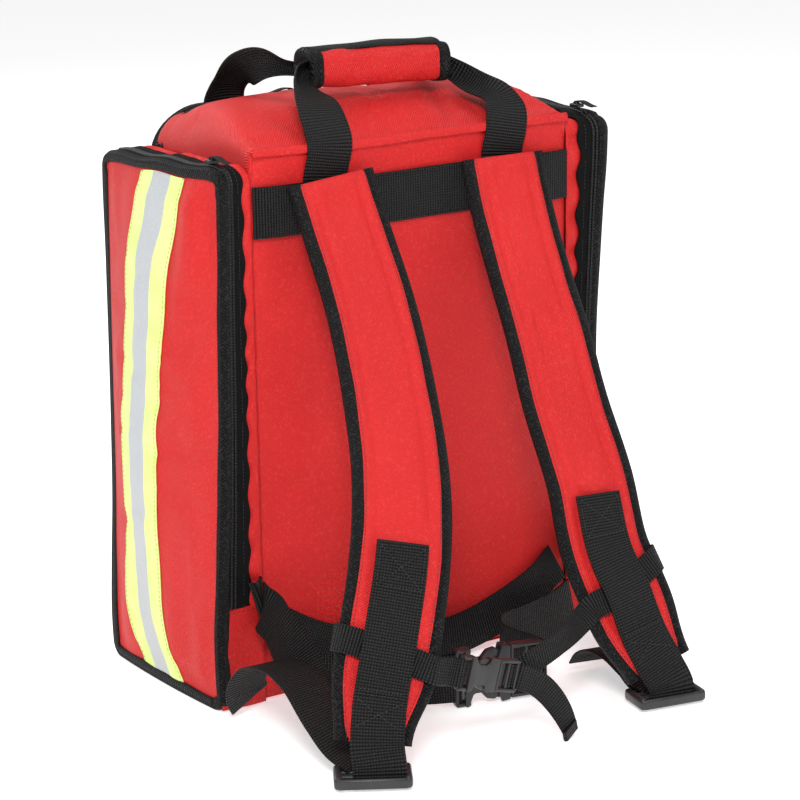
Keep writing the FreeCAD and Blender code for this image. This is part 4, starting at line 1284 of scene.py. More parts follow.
class Strap:
    """Smooth centre surface of a shoulder strap."""

    def __init__(self, line, yaws):
        rows = [(*p, *yaw(a)) for p, a in zip(line, yaws)]
        made, self.length = smooth_path(np.array(rows) * ([MM] * 3 + [1] * 3), 3 * MM)
        self.points = made[:, :3]
        self.across, self.out = frames_along(self.points, unit(made[:, 3:6]))

    def at(self, height, sideways=0.0, lift=0.0):
        """A point on the strap at a height, off its middle and off its outer face; and the two directions."""
        order = np.argsort(self.points[:, 2])
        z = self.points[order, 2]
        pick = lambda values: np.array([np.interp(height * MM, z, values[order, k]) for k in range(3)])
        point, across, out = pick(self.points), unit(pick(self.across)), unit(pick(self.out))
        return point + across * (sideways * MM) + out * (PAD_THICK / 2 + lift * MM), across, out


STRAPS = {"left": Strap(LEFT_LINE, LEFT_YAWS), "right": Strap(RIGHT_LINE, RIGHT_YAWS)}


def shoulder_pad(word):
    """Padded strap: crowned faces with two faint lengthwise ridges, bound edges and a stitched square top."""
    strap = STRAPS[word]
    points, across, out, length = strap.points, strap.across, strap.out, strap.length
    count, columns = len(points), 25
    half = PAD_WIDE / 2 - 2 * MM
    narrow = smoothstep((length - length[-1] + 62 * MM) / (62 * MM)) ** 1.4
    shape = 1 - (0.26 if word == "left" else 0.24) * narrow
    drift = (-2.5 if word == "left" else 2.0) * MM * narrow
    seed = 41 if word == "left" else 47
    faces = []
    for sign in (1, -1):
        grid = np.zeros((count, columns, 3))
        flat = np.zeros((count, columns, 2))
        for c, s in enumerate(np.linspace(-1, 1, columns)):
            crown = 3.4 * (1 - abs(s) ** 2.6) + 2.4
            ridge = 1.0 * (math.exp(-((abs(s) - 0.42) / 0.07) ** 2)) - 0.6 * math.exp(-((abs(s) - 0.56) / 0.05) ** 2)
            end = 0.35 + 0.65 * smoothstep(np.minimum(length + 6 * MM, length[-1] - length) / (14 * MM))
            waves = ripple(np.full(count, s * half * 1.5), length, seed, 5, 0.10) * 0.7 * (1 - s * s)
            high = (2.4 + (crown - 2.4 + ridge + waves) * end) * MM
            grid[:, c] = points + across * (s * half * shape + drift)[:, None] + out * (sign * high)[:, None]
            flat[:, c] = np.stack([s * half * shape, length], -1)
        faces.append((grid, flat))
    within = smoothstep((0.72 - np.abs(np.linspace(-1, 1, columns))) / 0.16)
    ends = smoothstep(np.minimum(length, length[-1] - length) / (25 * MM))
    settled = settle(faces[0][0], ends[:, None] * within, pressure=3.0, grow=0.010, cap=2.2 * MM, frames=14,
                     stiff=10, bend=1.0)
    pad = padded_solid(word + "_pad", settled, faces[1][0], faces[0][1])
    finish_piece(pad, RED, word + "_strap", (word + "_shoulder_pad",))
    # binding folded over both edges of the pad
    for s in (-1, 1):
        wobble = (0.5 * np.sin(length / 0.019 + s) + 0.35 * np.sin(length / 0.0083)) * MM
        profiles = []
        for i in range(count):
            face = 10.5 * MM + wobble[i]
            rim = half * shape[i] + 1.6 * MM
            outer = [(rim - face * t, (3.2 + 1.3 * math.sin(math.pi * min(1, t * 1.1 + 0.1))) * MM)
                     for t in np.linspace(1, 0.12, 8)]
            bend = [(rim + 0.6 * MM * math.cos(a) + 0.2 * MM, 3.3 * MM * math.sin(a))
                    for a in (1.1, 0.6, 0, -0.6, -1.1)]
            inner = [(rim - face * t, -(3.2 + 1.3 * math.sin(math.pi * min(1, t * 1.1 + 0.1))) * MM)
                     for t in np.linspace(0.12, 1, 8)]
            core = [(rim - face * 0.98, -2.0 * MM), (rim - face * 0.5, -2.0 * MM), (rim - face * 0.5, 2.0 * MM),
                    (rim - face * 0.98, 2.0 * MM)]
            profiles.append([(s * a + drift[i], b) for a, b in outer + bend + inner + core])
        profiles = np.array(profiles)
        vertices = points[:, None] + across[:, None] * profiles[..., :1] + out[:, None] * profiles[..., 1:2]
        girth = np.cumsum(np.r_[0, np.linalg.norm(np.diff(profiles[0], axis=0), axis=1)])
        n = profiles.shape[1]
        flat = np.stack([np.repeat(girth[None], count, 0), np.repeat(length[:, None], n, 1)], -1)
        quads = tube_faces(count, n)
        binding = mesh_object("%s_pad_binding_%s" % (word, "inner" if s > 0 else "outer"), vertices.reshape(-1, 3),
                              quads, flat.reshape(-1, 2))
        fix_normals(binding)
        finish_piece(binding, BIND, word + "_strap", (word + "_shoulder_binding",))
        line = points + across * (s * (half * shape - 7.3 * MM) + drift)[:, None] + out * (4.55 * MM)
        seam = stitches("%s_pad_seam_%s" % (word, "inner" if s > 0 else "outer"), line, out, 3.0 * MM,
                        0.25 * MM, 0.1 * MM)
        finish_piece(seam, BLACK_THREAD, word + "_strap")


def strap_webbing(word):
    """Webbing stitched down the lower half of the pad, on to the ladder lock and round its bar."""
    strap = STRAPS[word]
    (cx, cy, cz), turn = LOCKS[word]
    rows = []
    foot = LEFT_LINE[-1][2] if word == "left" else RIGHT_LINE[-1][2]
    slant = 1.0 if word == "left" else 1.5
    shift = (5.0 if word == "left" else 1.0) * yaw(turn)     # the webbing runs off the lock's middle
    for z in np.linspace(WEBBING_FROM, foot + 6, 14):
        lift = 1.2 + 1.6 * math.exp(-((z - 88) / 16) ** 2)
        point, across, _ = strap.at(z, slant * smoothstep((60 - z) / 40), lift)
        rows.append((*(point / MM), *across))
    last, across, out = strap.at(foot, slant, 0.6)
    rows.append((*(last / MM), *across))
    lock = np.array([cx, cy, cz]) + shift
    level = yaw(turn)
    ahead = np.array([-level[1], level[0], 0])      # from the lock towards the bag
    rows.append((*(lock - ahead * 8.5 + np.array([0, 0, 9.0])), *level))
    rows.append((*(lock - ahead * 9.4 + np.array([0, 0, 2.0])), *level))
    rows.append((*(lock - ahead * 6.0 + np.array([0, 0, -3.2])), *level))
    band = webbing(word + "_strap_webbing_band", rows, WEBBING, waves=0.0)
    finish_piece(band, WEB, word + "_strap", (word + "_strap_webbing",))
    # box stitching with a cross near the top, rows at the foot
    def row(name, ends, count=24):
        line, normals = [], []
        for t in np.linspace(0, 1, count):
            z = ends[0][0] + (ends[1][0] - ends[0][0]) * t
            x = ends[0][1] + (ends[1][1] - ends[0][1]) * t
            point, _, out = strap.at(z, x, 2.3 + 1.6 * math.exp(-((z - 88) / 16) ** 2))
            line.append(point)
            normals.append(out)
        seam = stitches(name, line, np.array(normals), 3.0 * MM, 0.3 * MM, 0.1 * MM)
        finish_piece(seam, BLACK_THREAD, word + "_strap")

    high, low, side = WEBBING_FROM - 3, WEBBING_FROM - 30, 17
    corners = ((high, -side), (high, side), (low, side), (low, -side))
    for i in range(4):
        row("%s_box_%d" % (word, i), (corners[i], corners[(i + 1) % 4]))
    row(word + "_cross_0", (corners[0], corners[2]))
    row(word + "_cross_1", (corners[1], corners[3]))
    for i, z in enumerate((foot + 34, foot + 31)):
        row("%s_bartack_%d" % (word, i), ((z, -side), (z, side)))
    row(word + "_foot_0", ((foot + 28, -side), (foot + 10, side)))
    row(word + "_foot_1", ((foot + 28, side), (foot + 10, -side)))


def rounded_ring(half_x, half_y, radius, steps=5):
    points = []
    for sx, sy, start in ((1, 1, 0), (-1, 1, 1), (-1, -1, 2), (1, -1, 3)):
        for a in np.linspace(0, math.pi / 2, steps):
            angle = start * math.pi / 2 + a
            points.append((sx * (half_x - radius) + radius * math.cos(angle),
                           sy * (half_y - radius) + radius * math.sin(angle)))
    return points


def rounded_bar(name_parts, place, axes, size, radius):
    """Adds a bar with rounded edges to a list of (vertices, faces); size is full lengths along the three axes."""
    a, b, c = axes
    length, wide, tall = size
    ring = rounded_ring(wide / 2, tall / 2, radius)
    n = len(ring)
    soft = min(radius, length * 0.45)
    stations = [(-length / 2, 0.25), (-length / 2 + soft * 0.3, 0.72), (-length / 2 + soft, 1.0),
                (length / 2 - soft, 1.0), (length / 2 - soft * 0.3, 0.72), (length / 2, 0.25)]
    vertices = []
    for at, scale in stations:
        shrink_x = (wide / 2 - radius * (1 - scale)) / (wide / 2)
        shrink_y = (tall / 2 - radius * (1 - scale)) / (tall / 2)
        for x, y in ring:
            vertices.append(place + a * at + b * (x * shrink_x) + c * (y * shrink_y))
    faces = tube_faces(len(stations), n)
    name_parts.append((vertices, faces))


def joined(name, parts, smooth=True):
    vertices, faces = [], []
    for verts, found in parts:
        base = len(vertices)
        vertices += [tuple(v) for v in verts]
        faces += [tuple(base + k for k in f) for f in found]
    obj = mesh_object(name, vertices, faces, smooth=smooth)
    fix_normals(obj)
    if smooth:
        obj.data.set_sharp_from_angle(angle=math.radians(38))
    return obj


def ladder_lock(word):
    """Moulded ladder lock: two side walls, a round front bar, a raised grip bar and a back bar with teeth."""
    (cx, cy, cz), turn = LOCKS[word]
    lock = np.array([cx, cy, cz]) * MM
    along = yaw(turn)
    ahead = np.array([-along[1], along[0], 0])
    up = np.array([0, 0, 1.0])
    parts = []
    for s in (-1, 1):
        rounded_bar(parts, lock + along * (s * 25.8 * MM) + up * 0.4 * MM, (ahead, along, up),
                    (31 * MM, 6.2 * MM, 9.6 * MM), 3.0 * MM)
    bars = ((-14.0, 0.2, 4.0, 8.0), (-4.0, 0.6, 3.6, 5.2), (4.6, 0.4, 3.6, 6.0), (13.4, 0.0, 4.2, 7.6))
    for y, z, deep, tall in bars:
        rounded_bar(parts, lock + ahead * (y * MM) + up * (z * MM), (along, ahead, up),
                    (53 * MM, deep * MM, tall * MM), min(deep, tall) * 0.42 * MM)
    for k in range(9):
        rounded_bar(parts, lock + along * ((k - 4) * 4.6 * MM) + ahead * (4.6 * MM) + up * (3.6 * MM),
                    (ahead, along, up), (3.4 * MM, 1.6 * MM, 1.6 * MM), 0.5 * MM)
    obj = joined(word + "_lock_frame", parts)
    finish_piece(obj, PLASTIC, word + "_lock", (word + "_ladder_lock",))


def adjusters():
    """Webbing from the seam tabs to the ladder locks, twisting on the way, and the tails beyond them."""
    left, right = yaw(-31), yaw(-11)
    routes = {
        "left": [(-150.5, -79, 86, 0.1, 0.15, 1), (-154, -86, 84, 0.3, 0.2, 1), (-154, -103, 76, 0.25, 0.25, 1),
                 (-155, -127, 62, 0.45, 0.35, 0.85), (-160, -160, 43, 0.8, 0.3, 0.6),
                 (-163, -190, 26, 1, -0.1, 0.35),
                 (-161, -216, 13, *(left + (0, 0, 0.12))), (-163, -240, 7.5, *left), (-167, -254, 6.4, *left)],
        "right": [(150.5, -79, 84, 0, 0.1, 1), (156, -88, 82, -0.2, 0.1, 1), (155, -105, 72, -0.4, 0.2, 0.9),
                  (148, -135, 58, -0.7, 0.1, 0.7), (137, -165, 40, -0.9, 0, 0.35), (124, -195, 24, *(-right)),
                  (114, -220, 12, *(-right)), (109, -242, 7, *(-right)), (108, -254, 6.4, *(-right))],
    }
    for word, rows in routes.items():
        band = webbing(word + "_adjuster_webbing", rows, 37 * MM)
        band.data.materials.append(WEB)
        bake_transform(band)
        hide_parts(word + "_adjuster")
    tails = {
        "left": [(-168, -250, 13.5, *left), (-171, -236, 18, *left), (-174, -205, 36, *left),
                 (-172, -172, 51, *yaw(-20)), (-173, -142, 56, *yaw(-10)), (-179, -119, 51, *yaw(0)),
                 (-183, -106, 36, *yaw(5)), (-180, -98, 23, *yaw(8)), (-174, -93, 14, *yaw(10))],
        "right": [(107, -250, 13, *right), (104, -240, 17, *right), (100, -215, 28, *right),
                  (101, -192, 27, *right),
                  (102, -176, 18, *right), (103, -168, 8, *right)],
    }
    for word, rows in tails.items():
        band = webbing(word + "_adjuster_end", rows, 37 * MM)
        finish_piece(band, WEB, word + "_strap", (word + "_adjuster_tail",))
        rows = np.array(rows, float)
        end, across = rows[-1, :3] * MM, unit(rows[-1, 3:6])
        before = unit(rows[-2, :3] - rows[-1, :3])
        out = unit(np.cross(across, before))
        hem = [end + before * (9 * MM) + across * (t * 17 * MM) + out * (s * 1.2 * MM) for s in (1, -1)
               for t in np.linspace(-1, 1, 16)]
        for i, s in enumerate((1, -1)):
            line = hem[i * 16:(i + 1) * 16]
            seam = stitches("%s_hem_%d" % (word, i), line, np.tile(out * s, (16, 1)), 3 * MM, 0.3 * MM, 0.0)
            finish_piece(seam, BLACK_THREAD, word + "_strap")


def seam_tabs():
    """Webbing folded into the side seams where the adjusters leave."""
    for side, word in ((-1, "left"), (1, "right")):
        rows = [(side * 150.5, -70, 84, 0, 0.1, 1), (side * 151.5, -77.5, 84, 0, 0.1, 1),
                (side * 154, -80.5, 83, side * 0.1, 0.1, 1), (side * 157.5, -80, 82, side * 0.1, 0.1, 1)]
        band = webbing(word + "_seam_tab", rows, 44 * MM, thick=2.4 * MM, step=1.5 * MM)
        finish_piece(band, WEB, "pack", ("seam_tabs",))


# ---------------------------------------------------------------- buckles and their straps
CHEST = ((-67, -264, 63.5), (1, 0.0, -0.27), (54, 27, 9), "left_strap")
WAIST = ((2, -181, 24.5), (1, -0.22, 0), (74, 48, 11))


def plate(parts, spot, outline, low, high, edge=0.7):
    """A flat moulding with rolled edges; outline in the buckle's own plane, millimetres."""
    outline = np.array(outline, float)
    fine = []
    for i, corner in enumerate(outline):        # round every corner
        before, after = outline[i - 1] - corner, outline[(i + 1) % len(outline)] - corner
        cut = min(1.3, np.linalg.norm(before) * 0.45, np.linalg.norm(after) * 0.45)
        a, b = corner + unit(before) * cut, corner + unit(after) * cut
        fine += [a * (1 - t) ** 2 + corner * 2 * t * (1 - t) + b * t ** 2 for t in (0.0, 0.33, 0.67, 1.0)]
    fine = np.array(fine)
    n = len(fine)
    ahead = unit(np.roll(fine, -1, 0) - np.roll(fine, 1, 0))
    inward = np.stack([-ahead[:, 1], ahead[:, 0]], -1)
    area = np.sum(fine[:, 0] * np.roll(fine[:, 1], -1) - np.roll(fine[:, 0], -1) * fine[:, 1])
    inward *= 1 if area > 0 else -1
    rings = [(low, edge), (low + edge * 0.3, edge * 0.3), (low + edge, 0), (high - edge, 0),
             (high - edge * 0.3, edge * 0.3), (high, edge)]
    vertices = [spot(x, y, z) for z, inset in rings for x, y in fine + inward * inset]
    faces = tube_faces(len(rings), n)
    parts.append((vertices, faces))


def buckle(prefix, centre, along, size, female_body):
    """Side-release buckle: waisted flat housing, male ladder frame and two sprung arms seen in the waist."""
    along = unit(along)
    up = np.array([0, 0, 1.0])
    up = unit(up - along * np.dot(up, along))
    out = np.cross(along, up)
    centre = np.array(centre) * MM
    length, height, thick = size
    hl, hh, ht = length / 2, height / 2, thick / 2

    def spot(x, y, z=0.0):
        return centre + (along * x + up * y + out * z) * MM

    def bar(parts, x, y, z, lx, ly, lz, radius):
        rounded_bar(parts, spot(x, y, z), (along, up, out), (lx * MM, ly * MM, lz * MM), radius * MM)

    mouth = length * 0.12
    neck = hh * 0.56
    skin = thick * 0.20
    half_outline = [(-hl + 7.5, hh), (-hl + 10.5, hh), (-hl + 14, neck + 1.0), (-hl + 15.5, neck),
                    (mouth - 11.5, neck), (mouth - 10, neck + 1.0), (mouth - 7.5, hh * 0.98), (mouth, hh * 0.94)]
    outline = half_outline + [(x, -y) for x, y in reversed(half_outline)]
    female = []
    for z in (-1, 1):
        low, high = sorted((z * (ht - skin), z * ht))
        plate(female, spot, outline, low, high, 0.6)
    for s in (-1, 1):       # side rails that join the two faces, and the frame round the webbing bar
        bar(female, -hl + 10, s * (hh - 2.0), 0, 5.0, 3.6, thick * 0.9, 1.2)
        bar(female, mouth - 3.5, s * (hh * 0.94 - 1.2), 0, 7.0, 2.2, thick * 0.9, 0.9)
        bar(female, -hl + 4.5, s * (hh - 1.7), 0, 8.5, 3.0, thick * 0.8, 1.2)
    bar(female, -hl + 1.6, 0, 0, 3.0, height - 1, thick * 0.62, 1.2)
    bar(female, -hl + 9.0, 0, 0, 2.6, height * 0.9, thick * 0.7, 1.0)
    obj = joined(prefix + "_housing", female)
    finish_piece(obj, PLASTIC, female_body, (prefix + "_buckle_female",))

    male = []
    start, end = mouth + 0.8, hl
    for s in (-1, 1):
        bar(male, (start + end) / 2, s * (hh * 0.92 - 1.3), 0, end - start, 2.8, thick * 0.86, 1.1)
    bar(male, start + 1.3, 0, 0, 2.6, height * 0.90, thick * 0.86, 1.0)
    bar(male, (start + end) / 2 + 0.6, 0, 0.6, 2.6, height * 0.86, thick * 0.45, 1.0)
    bar(male, end - 1.4, 0, 0, 2.8, height * 0.92, thick * 0.76, 1.1)
    bar(male, (start - length * 0.24) / 2, 0, 0, start + length * 0.24, 4.0, thick - 2 * skin - 1.2, 1.0)
    obj = joined(prefix + "_male_frame", male)
    finish_piece(obj, PLASTIC, prefix + "_male", (prefix + "_buckle_male",))
    for s, word in ((-1, "lower"), (1, "upper")):
        arm = []
        plate(arm, spot, [(mouth, s * (hh * 0.70)), (mouth, s * (hh * 0.42)), (-length * 0.20, s * (neck - 2.4)),
                          (-length * 0.21, s * (neck + 0.6)), (-length * 0.14, s * (hh * 0.84)),
                          (-length * 0.05, s * (hh * 0.90)), (mouth - 7.0, s * (hh * 0.74))],
              -ht + skin + 0.5, ht - skin - 0.5, 0.8)
        obj = joined("%s_arm_%s_shape" % (prefix, word), arm)
        finish_piece(obj, PLASTIC, "%s_arm_%s" % (prefix, word), ("%s_arm_%s" % (prefix, word),))
    return spot


def chest_strap():
    centre, along, size, female_body = CHEST
    spot = buckle("chest", centre, along, size, female_body)
    half = size[0] / 2
    left, right = STRAPS["left"], STRAPS["right"]

    def over(strap, z, x, lift=1.0):
        point, across, out = strap.at(z, x, lift)
        ahead = np.cross(across, out)
        up = ahead if ahead[2] > 0 else -ahead
        return (*(point / MM), *up)

    def under(strap, z, x, lift=-1.5):
        """Behind the pad's edge, where the strap turns round it."""
        point, across, out = strap.at(z, x, 0)
        ahead = np.cross(across, out)
        up = ahead if ahead[2] > 0 else -ahead
        return (*((point - out * (PAD_THICK + lift * MM)) / MM), *up)

    up = (0.27, 0, 1)
    rows = [under(left, 94, -22, 2.0), under(left, 94, -36, 1.5), over(left, 94.5, -41.5, -6.0),
            over(left, 94, -36, 0.2),
            over(left, 92, -18), over(left, 89, 0), over(left, 86, 20), over(left, 83, 37, 0.6),
            (*(spot(-half - 6, 0, 1.4) / MM), *up), (*(spot(-half + 1, 0, 3.6) / MM), *up),
            (*(spot(-half + 4.6, 0, 1.0) / MM), *up), (*(spot(-half + 2.5, 0, -3.2) / MM), *up),
            (*(spot(-half - 10, 0, -1.6) / MM), *up)]
    band = webbing("chest_webbing_left_band", rows, CHEST_WEBBING * 1.06, thick=1.5 * MM, step=1.6 * MM)
    finish_piece(band, WEB, "left_strap", ("chest_webbing_left",))
    rise = (-0.18, 0, 1)
    rows = [(*(spot(half - 9.5, 0, -2.4) / MM), *up), (*(spot(half - 7.0, 0, 2.6) / MM), *up),
            (*(spot(half - 4.2, 0, 0.0) / MM), *up), (*(spot(half + 1, 0, -3.0) / MM), *up),
            (-27, -261.5, 61.5, *rise),
            (8, -256, 71, *rise), over(right, 85, -41, 0.4), over(right, 88, -34, 0.8), over(right, 89, -16),
            over(right, 92, 0),
            over(right, 95, 20), over(right, 98, 36, 0.2), over(right, 98.5, 41.0, -5.5),
            under(right, 98, 36, 1.5),
            under(right, 98, 22, 2.0)]
    band = webbing("chest_webbing_right_band", rows, CHEST_WEBBING * 1.06, thick=1.5 * MM, step=1.6 * MM)
    bent_piece(band, WEB, ("left_strap", "chest_male"), (0.004, -0.2565, 0.070), (-0.036, -0.264, 0.058),
               "black_webbing", ("chest_webbing_right",))
    rows = [(*(spot(half - 10, 0, -1.0) / MM), *up), (*(spot(half - 7, 0, -3.4) / MM), *up),
            (*(spot(half - 3.5, 0, 0.4) / MM), *up), (*(spot(half - 0.5, 0, 3.4) / MM), *up),
            (-29, -268.2, 51.0, 0.35, 0, 1),
            (-19, -269, 43, 0.6, 0, 0.9), (-10, -271, 32, 0.75, 0.1, 0.7), (-3, -274, 19, 0.85, 0.25, 0.5),
            (1, -276, 8, 0.85, 0.4, 0.35), (2, -277, 3.6, 0.85, 0.45, 0.3)]
    band = webbing("chest_tail_band", rows, CHEST_WEBBING, thick=1.5 * MM, step=2 * MM)
    finish_piece(band, WEB, "chest_male", ("chest_tail",))
    end = np.array([1.2, -276.4, 6.0]) * MM
    across = unit(np.array([0.85, 0.42, 0.33]))
    hem = webbing("chest_tail_hem", [(*(end / MM + np.array([-1.2, -0.4, 4.5])), *across), (*(end / MM), *across),
                                     (*(end / MM + np.array([0.8, 0.2, -3.2])), *across)], CHEST_WEBBING,
                  thick=3.6 * MM,
                  step=1.5 * MM)
    finish_piece(hem, WEB, "chest_male")


def waist_belt():
    centre, along, size = WAIST
    spot = buckle("waist", centre, along, size, "pack")
    half = size[0] / 2
    mid = 20.8
    up = (0, 0, 1)
    rows = [(-119, -92, mid, *up), (-95, -118, mid, *up), (-66, -146, mid, *up),
            (*(spot(-half - 5, 0, 0.5) / MM), *up), (*(spot(-half + 4.5, 0, 2.2) / MM), *up),
            (*(spot(-half + 5, 0, -3.0) / MM), *up), (*(spot(-half - 8, 0, -2.6) / MM), *up)]
    band = webbing("waist_webbing_left_band", rows, WEBBING, waves=0.6 * MM)
    finish_piece(band, WEB, "pack", ("waist_webbing_left",))
    rows = [(*(spot(half - 8.5, 0, 3.2) / MM), *up), (*(spot(half - 4.5, 0, -3.4) / MM), *up),
            (*(spot(half + 3, 0, -0.5) / MM), *up), (49, -180, mid, *up), (49.5, -166, mid, *up),
            (45.5, -148, mid, *up),
            (45, -130, mid, *up), (55, -112, mid, *up), (90, -101, mid, *up), (128, -93, mid + 4, *up),
            (146, -88, mid + 9, *up)]
    band = webbing("waist_webbing_right_band", rows, WEBBING)
    bent_piece(band, WEB, ("pack", "waist_male"), (0.0465, -0.155, 0.02), (0.040, -0.188, 0.02), "black_webbing",
               ("waist_webbing_right",))


# ---------------------------------------------------------------- carrying handle
def two_edge_band(name, left, right, width_cap=WEBBING, step=2.5 * MM, thick=WEB_THICK):
    """Webbing given by matching points along its two edges; millimetres."""
    left, right = np.array(left, float), np.array(right, float)
    centre = (left + right) / 2
    wide = np.linalg.norm(right - left, axis=1)
    rows = np.column_stack([centre, unit(right - left), wide])
    made, length = smooth_path(rows * ([MM] * 3 + [1] * 3 + [MM]), step)
    points, across, widths = made[:, :3], unit(made[:, 3:6]), np.minimum(made[:, 6], width_cap)
    profiles = np.repeat(flat_profile(width_cap, thick)[None], len(points), 0)
    share = widths / width_cap
    profiles[..., 0] *= share[:, None]
    # webbing that looks narrow is gathered: it bows instead of shrinking
    bow = np.sqrt(np.maximum(0, 1 - share ** 2)) * width_cap * 0.22
    profiles[..., 1] += bow[:, None] * (1 - (profiles[..., 0] / np.maximum(widths[:, None] / 2, 1e-6)) ** 2)
    return sweep(name, points, across, length, profiles)


def handle():
    """Four webbing legs that meet in the grip."""
    legs = {
        "near_left": ([(-104, -76.8, 398), (-104, -77.5, 413), (-100, -79, 438), (-100, -70, 461), (-97, -57, 478),
                       (-88, -43, 490), (-76, -31, 497), (-58, -27, 499)],
                      [(-64, -76.8, 398), (-64, -77.5, 413), (-60, -79, 446), (-60, -68, 463), (-60, -56, 471),
                       (-64, -41, 476), (-66, -30, 482), (-58, -24, 484)]),
        "near_right": ([(63, -76.8, 398), (63, -77.5, 416), (67, -79, 441), (71, -72, 460), (70, -61, 464.5),
                        (66, -47, 467), (64, -33, 472), (56, -26, 481)],
                       [(103, -76.8, 398), (103, -77.5, 416), (107, -79, 437), (109, -74, 452), (106, -62, 464.5),
                        (92, -48, 475), (76, -32, 487), (56, -26, 496)]),
        "far_left": ([(-98, 84, 450), (-98, 83, 457), (-93, 70, 479), (-88, 45, 500), (-79, 22, 505),
                      (-69, 3, 497),
                      (-57, -12, 494)],
                     [(-60, 84, 452), (-60, 83, 460), (-66, 70, 468), (-75, 45, 472), (-79, 22, 479),
                      (-72, 5, 484),
                      (-57, -12, 483)]),
        "far_right": ([(60, 84, 452), (60, 83, 460), (66, 68, 466), (72, 45, 468), (76, 24, 474), (70, 6, 482),
                       (57, -11, 483)],
                      [(98, 84, 450), (98, 83, 457), (93, 69, 472), (87, 46, 488), (79, 22, 496), (69, 4, 496),
                       (57, -11, 495)]),
    }
    for word, (left, right) in legs.items():
        band = two_edge_band("handle_" + word, left, right)
        near = word.startswith("near")
        start = (0, -0.078, 0.425) if near else (0, 0.080, 0.455)
        end = (0, -0.035, 0.485) if near else (0, 0.0, 0.492)
        bent_piece(band, WEB, ("pack", "grip"), start, end, "black_webbing",
                   ("near_handle" if near else "far_handle",))
        # foot stitching
        x0, x1 = (left[1][0] + right[1][0]) / 2 - 16, (left[1][0] + right[1][0]) / 2 + 16
        y = left[1][1] - 1.1 if near else left[1][1] + 1.1
        z = 403 if near else 455
        line = np.array([(x * MM, (y + (0.6 if near else 0)) * MM, z * MM) for x in np.linspace(x0, x1, 14)])
        seam = stitches("handle_seam_" + word, line, np.tile([0, -1.0 if near else 1.0, 0], (14, 1)), 3 * MM,
                        0.3 * MM, 0.0)
        finish_piece(seam, BLACK_THREAD, "pack")


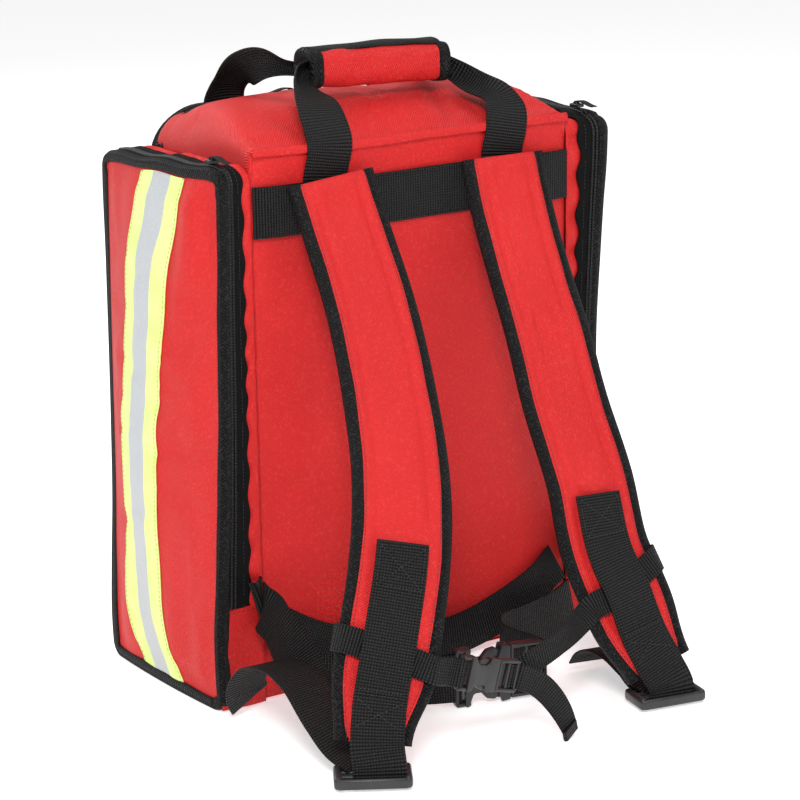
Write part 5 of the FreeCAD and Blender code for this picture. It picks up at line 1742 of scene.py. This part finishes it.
def grip():
    """Padded grip wrap with bound ends, and the closing flap along its top."""
    length = (GRIP_HIGH.x - GRIP_LOW.x)
    centre = (GRIP_LOW + GRIP_HIGH) / 2
    deep, tall = GRIP_HIGH.y - GRIP_LOW.y, GRIP_HIGH.z - GRIP_LOW.z
    rows, sides = 56, 40
    tilt = 0.06

    def ring_at(x, swell, seed=0.0):
        points = []
        for a in np.linspace(0, 2 * math.pi, sides, endpoint=False):
            ca, sa = math.cos(a), math.sin(a)
            power = 0.62
            y = math.copysign(abs(ca) ** power, ca) * deep / 2
            z = math.copysign(abs(sa) ** power, sa) * tall / 2
            wave = 0.45 * MM * math.sin(x / 0.008 + a * 2 + seed) * math.sin(a * 3 + x / 0.02)
            points.append((x, centre.y + y * swell + wave * ca, centre.z + z * swell + wave * sa - x * tilt * 0.5))
        return points

    vertices, flat, faces = [], [], []
    for r, t in enumerate(np.linspace(-1, 1, rows)):
        x = centre.x + t * (length / 2 - 1 * MM)
        swell = 0.97 + 0.05 * (1 - t * t) + 0.012 * math.sin(t * 9)
        vertices += ring_at(x, swell)
        flat += [(k * 2.4 * MM, x) for k in range(sides)]
    inner = len(vertices)
    for r, t in enumerate(np.linspace(-1, 1, rows)):
        x = centre.x + t * (length / 2 - 1 * MM)
        vertices += ring_at(x, 0.66)
        flat += [(k * 2.4 * MM, x) for k in range(sides)]
    for r in range(rows - 1):
        for k in range(sides):
            m = (k + 1) % sides
            a, b, c, d = r * sides + k, r * sides + m, (r + 1) * sides + m, (r + 1) * sides + k
            faces += [(a, b, c, d), (inner + a, inner + d, inner + c, inner + b)]
    for k in range(sides):
        m = (k + 1) % sides
        faces += [(k, inner + k, inner + m, m)]
        last = (rows - 1) * sides
        faces += [(last + k, last + m, inner + last + m, inner + last + k)]
    wrap = mesh_object("grip_wrap_cloth", vertices, faces, flat)
    fix_normals(wrap)
    finish_piece(wrap, RED, "grip", ("grip_wrap",))
    for word, sign in (("left", -1), ("right", 1)):
        stations = [(4.0, 0.25), (-0.2, 0.62), (-0.9, 0.93), (-0.2, 1.035), (2, 1.06), (5, 1.055), (8.5, 1.05),
                    (10.2, 1.02), (10.2, 0.94)]
        vertices, flat, faces = [], [], []
        for i, (x, swell) in enumerate(stations):
            vertices += ring_at(centre.x + sign * (length / 2 - x * MM), swell, 1.0)
            flat += [(x * MM, k * 2.4 * MM) for k in range(sides)]
        for i in range(len(stations) - 1):
            for k in range(sides):
                m = (k + 1) % sides
                faces.append((i * sides + k, i * sides + m, (i + 1) * sides + m, (i + 1) * sides + k))
        faces.append(tuple(range(sides)))
        band = mesh_object("grip_end_" + word, vertices, faces, flat)
        fix_normals(band)
        finish_piece(band, BIND, "grip")
    low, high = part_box("grip_flap")
    rows, columns = 44, 12
    points, flat = blank_grid(rows, columns)
    for r, t in enumerate(np.linspace(-1, 1, rows)):
        x = centre.x - 1.0 * MM + t * (length / 2 - 4.0 * MM)
        for c, s in enumerate(np.linspace(-1, 1, columns)):
            y = (low.y + high.y) / 2 + 2.5 * MM + s * (high.y - low.y) / 2 * 1.05
            z = (low.z + 1.2 * MM - 2.4 * MM * abs(s) ** 3 + 0.9 * MM * math.sin(t * 3.1 + 0.8)
                 + 0.6 * MM * math.sin(t * 8) * s)
            z += 2.5 * MM * max(0, t - 0.75) - 0.5 * MM * (1 - t) - (x - centre.x) * tilt * 0.5
            points[r, c] = (x, y, z)
            flat[r, c] = (s * 12 * MM, x)
    flap = sheet_mesh("grip_flap_cloth", points, flat, 2.0 * MM)
    fix_normals(flap)
    finish_piece(flap, WEB, "grip_flap", ("grip_flap",))
make_camera()
make_stage()
RED, WEB, BIND = red_cloth(), black_webbing(), black_binding()
TAPE, COIL, PLASTIC = zip_tape(), zip_coil(), moulded_plastic()
METAL, HI_VIS = painted_metal(), hi_vis_tape()
BLACK_THREAD = thread("black_thread", (0.028, 0.028, 0.030))
LIME_THREAD = thread("lime_thread", (0.35, 0.48, 0.05))
bag_walls()
harness_panel()
top_cover()
main_zip()
lid()
flat_bands()
pocket(-1, "left")
pocket(1, "right")
for strap_word in ("left", "right"):
    shoulder_pad(strap_word)
    strap_webbing(strap_word)
    ladder_lock(strap_word)
adjusters()
seam_tabs()
chest_strap()
waist_belt()
handle()
grip()
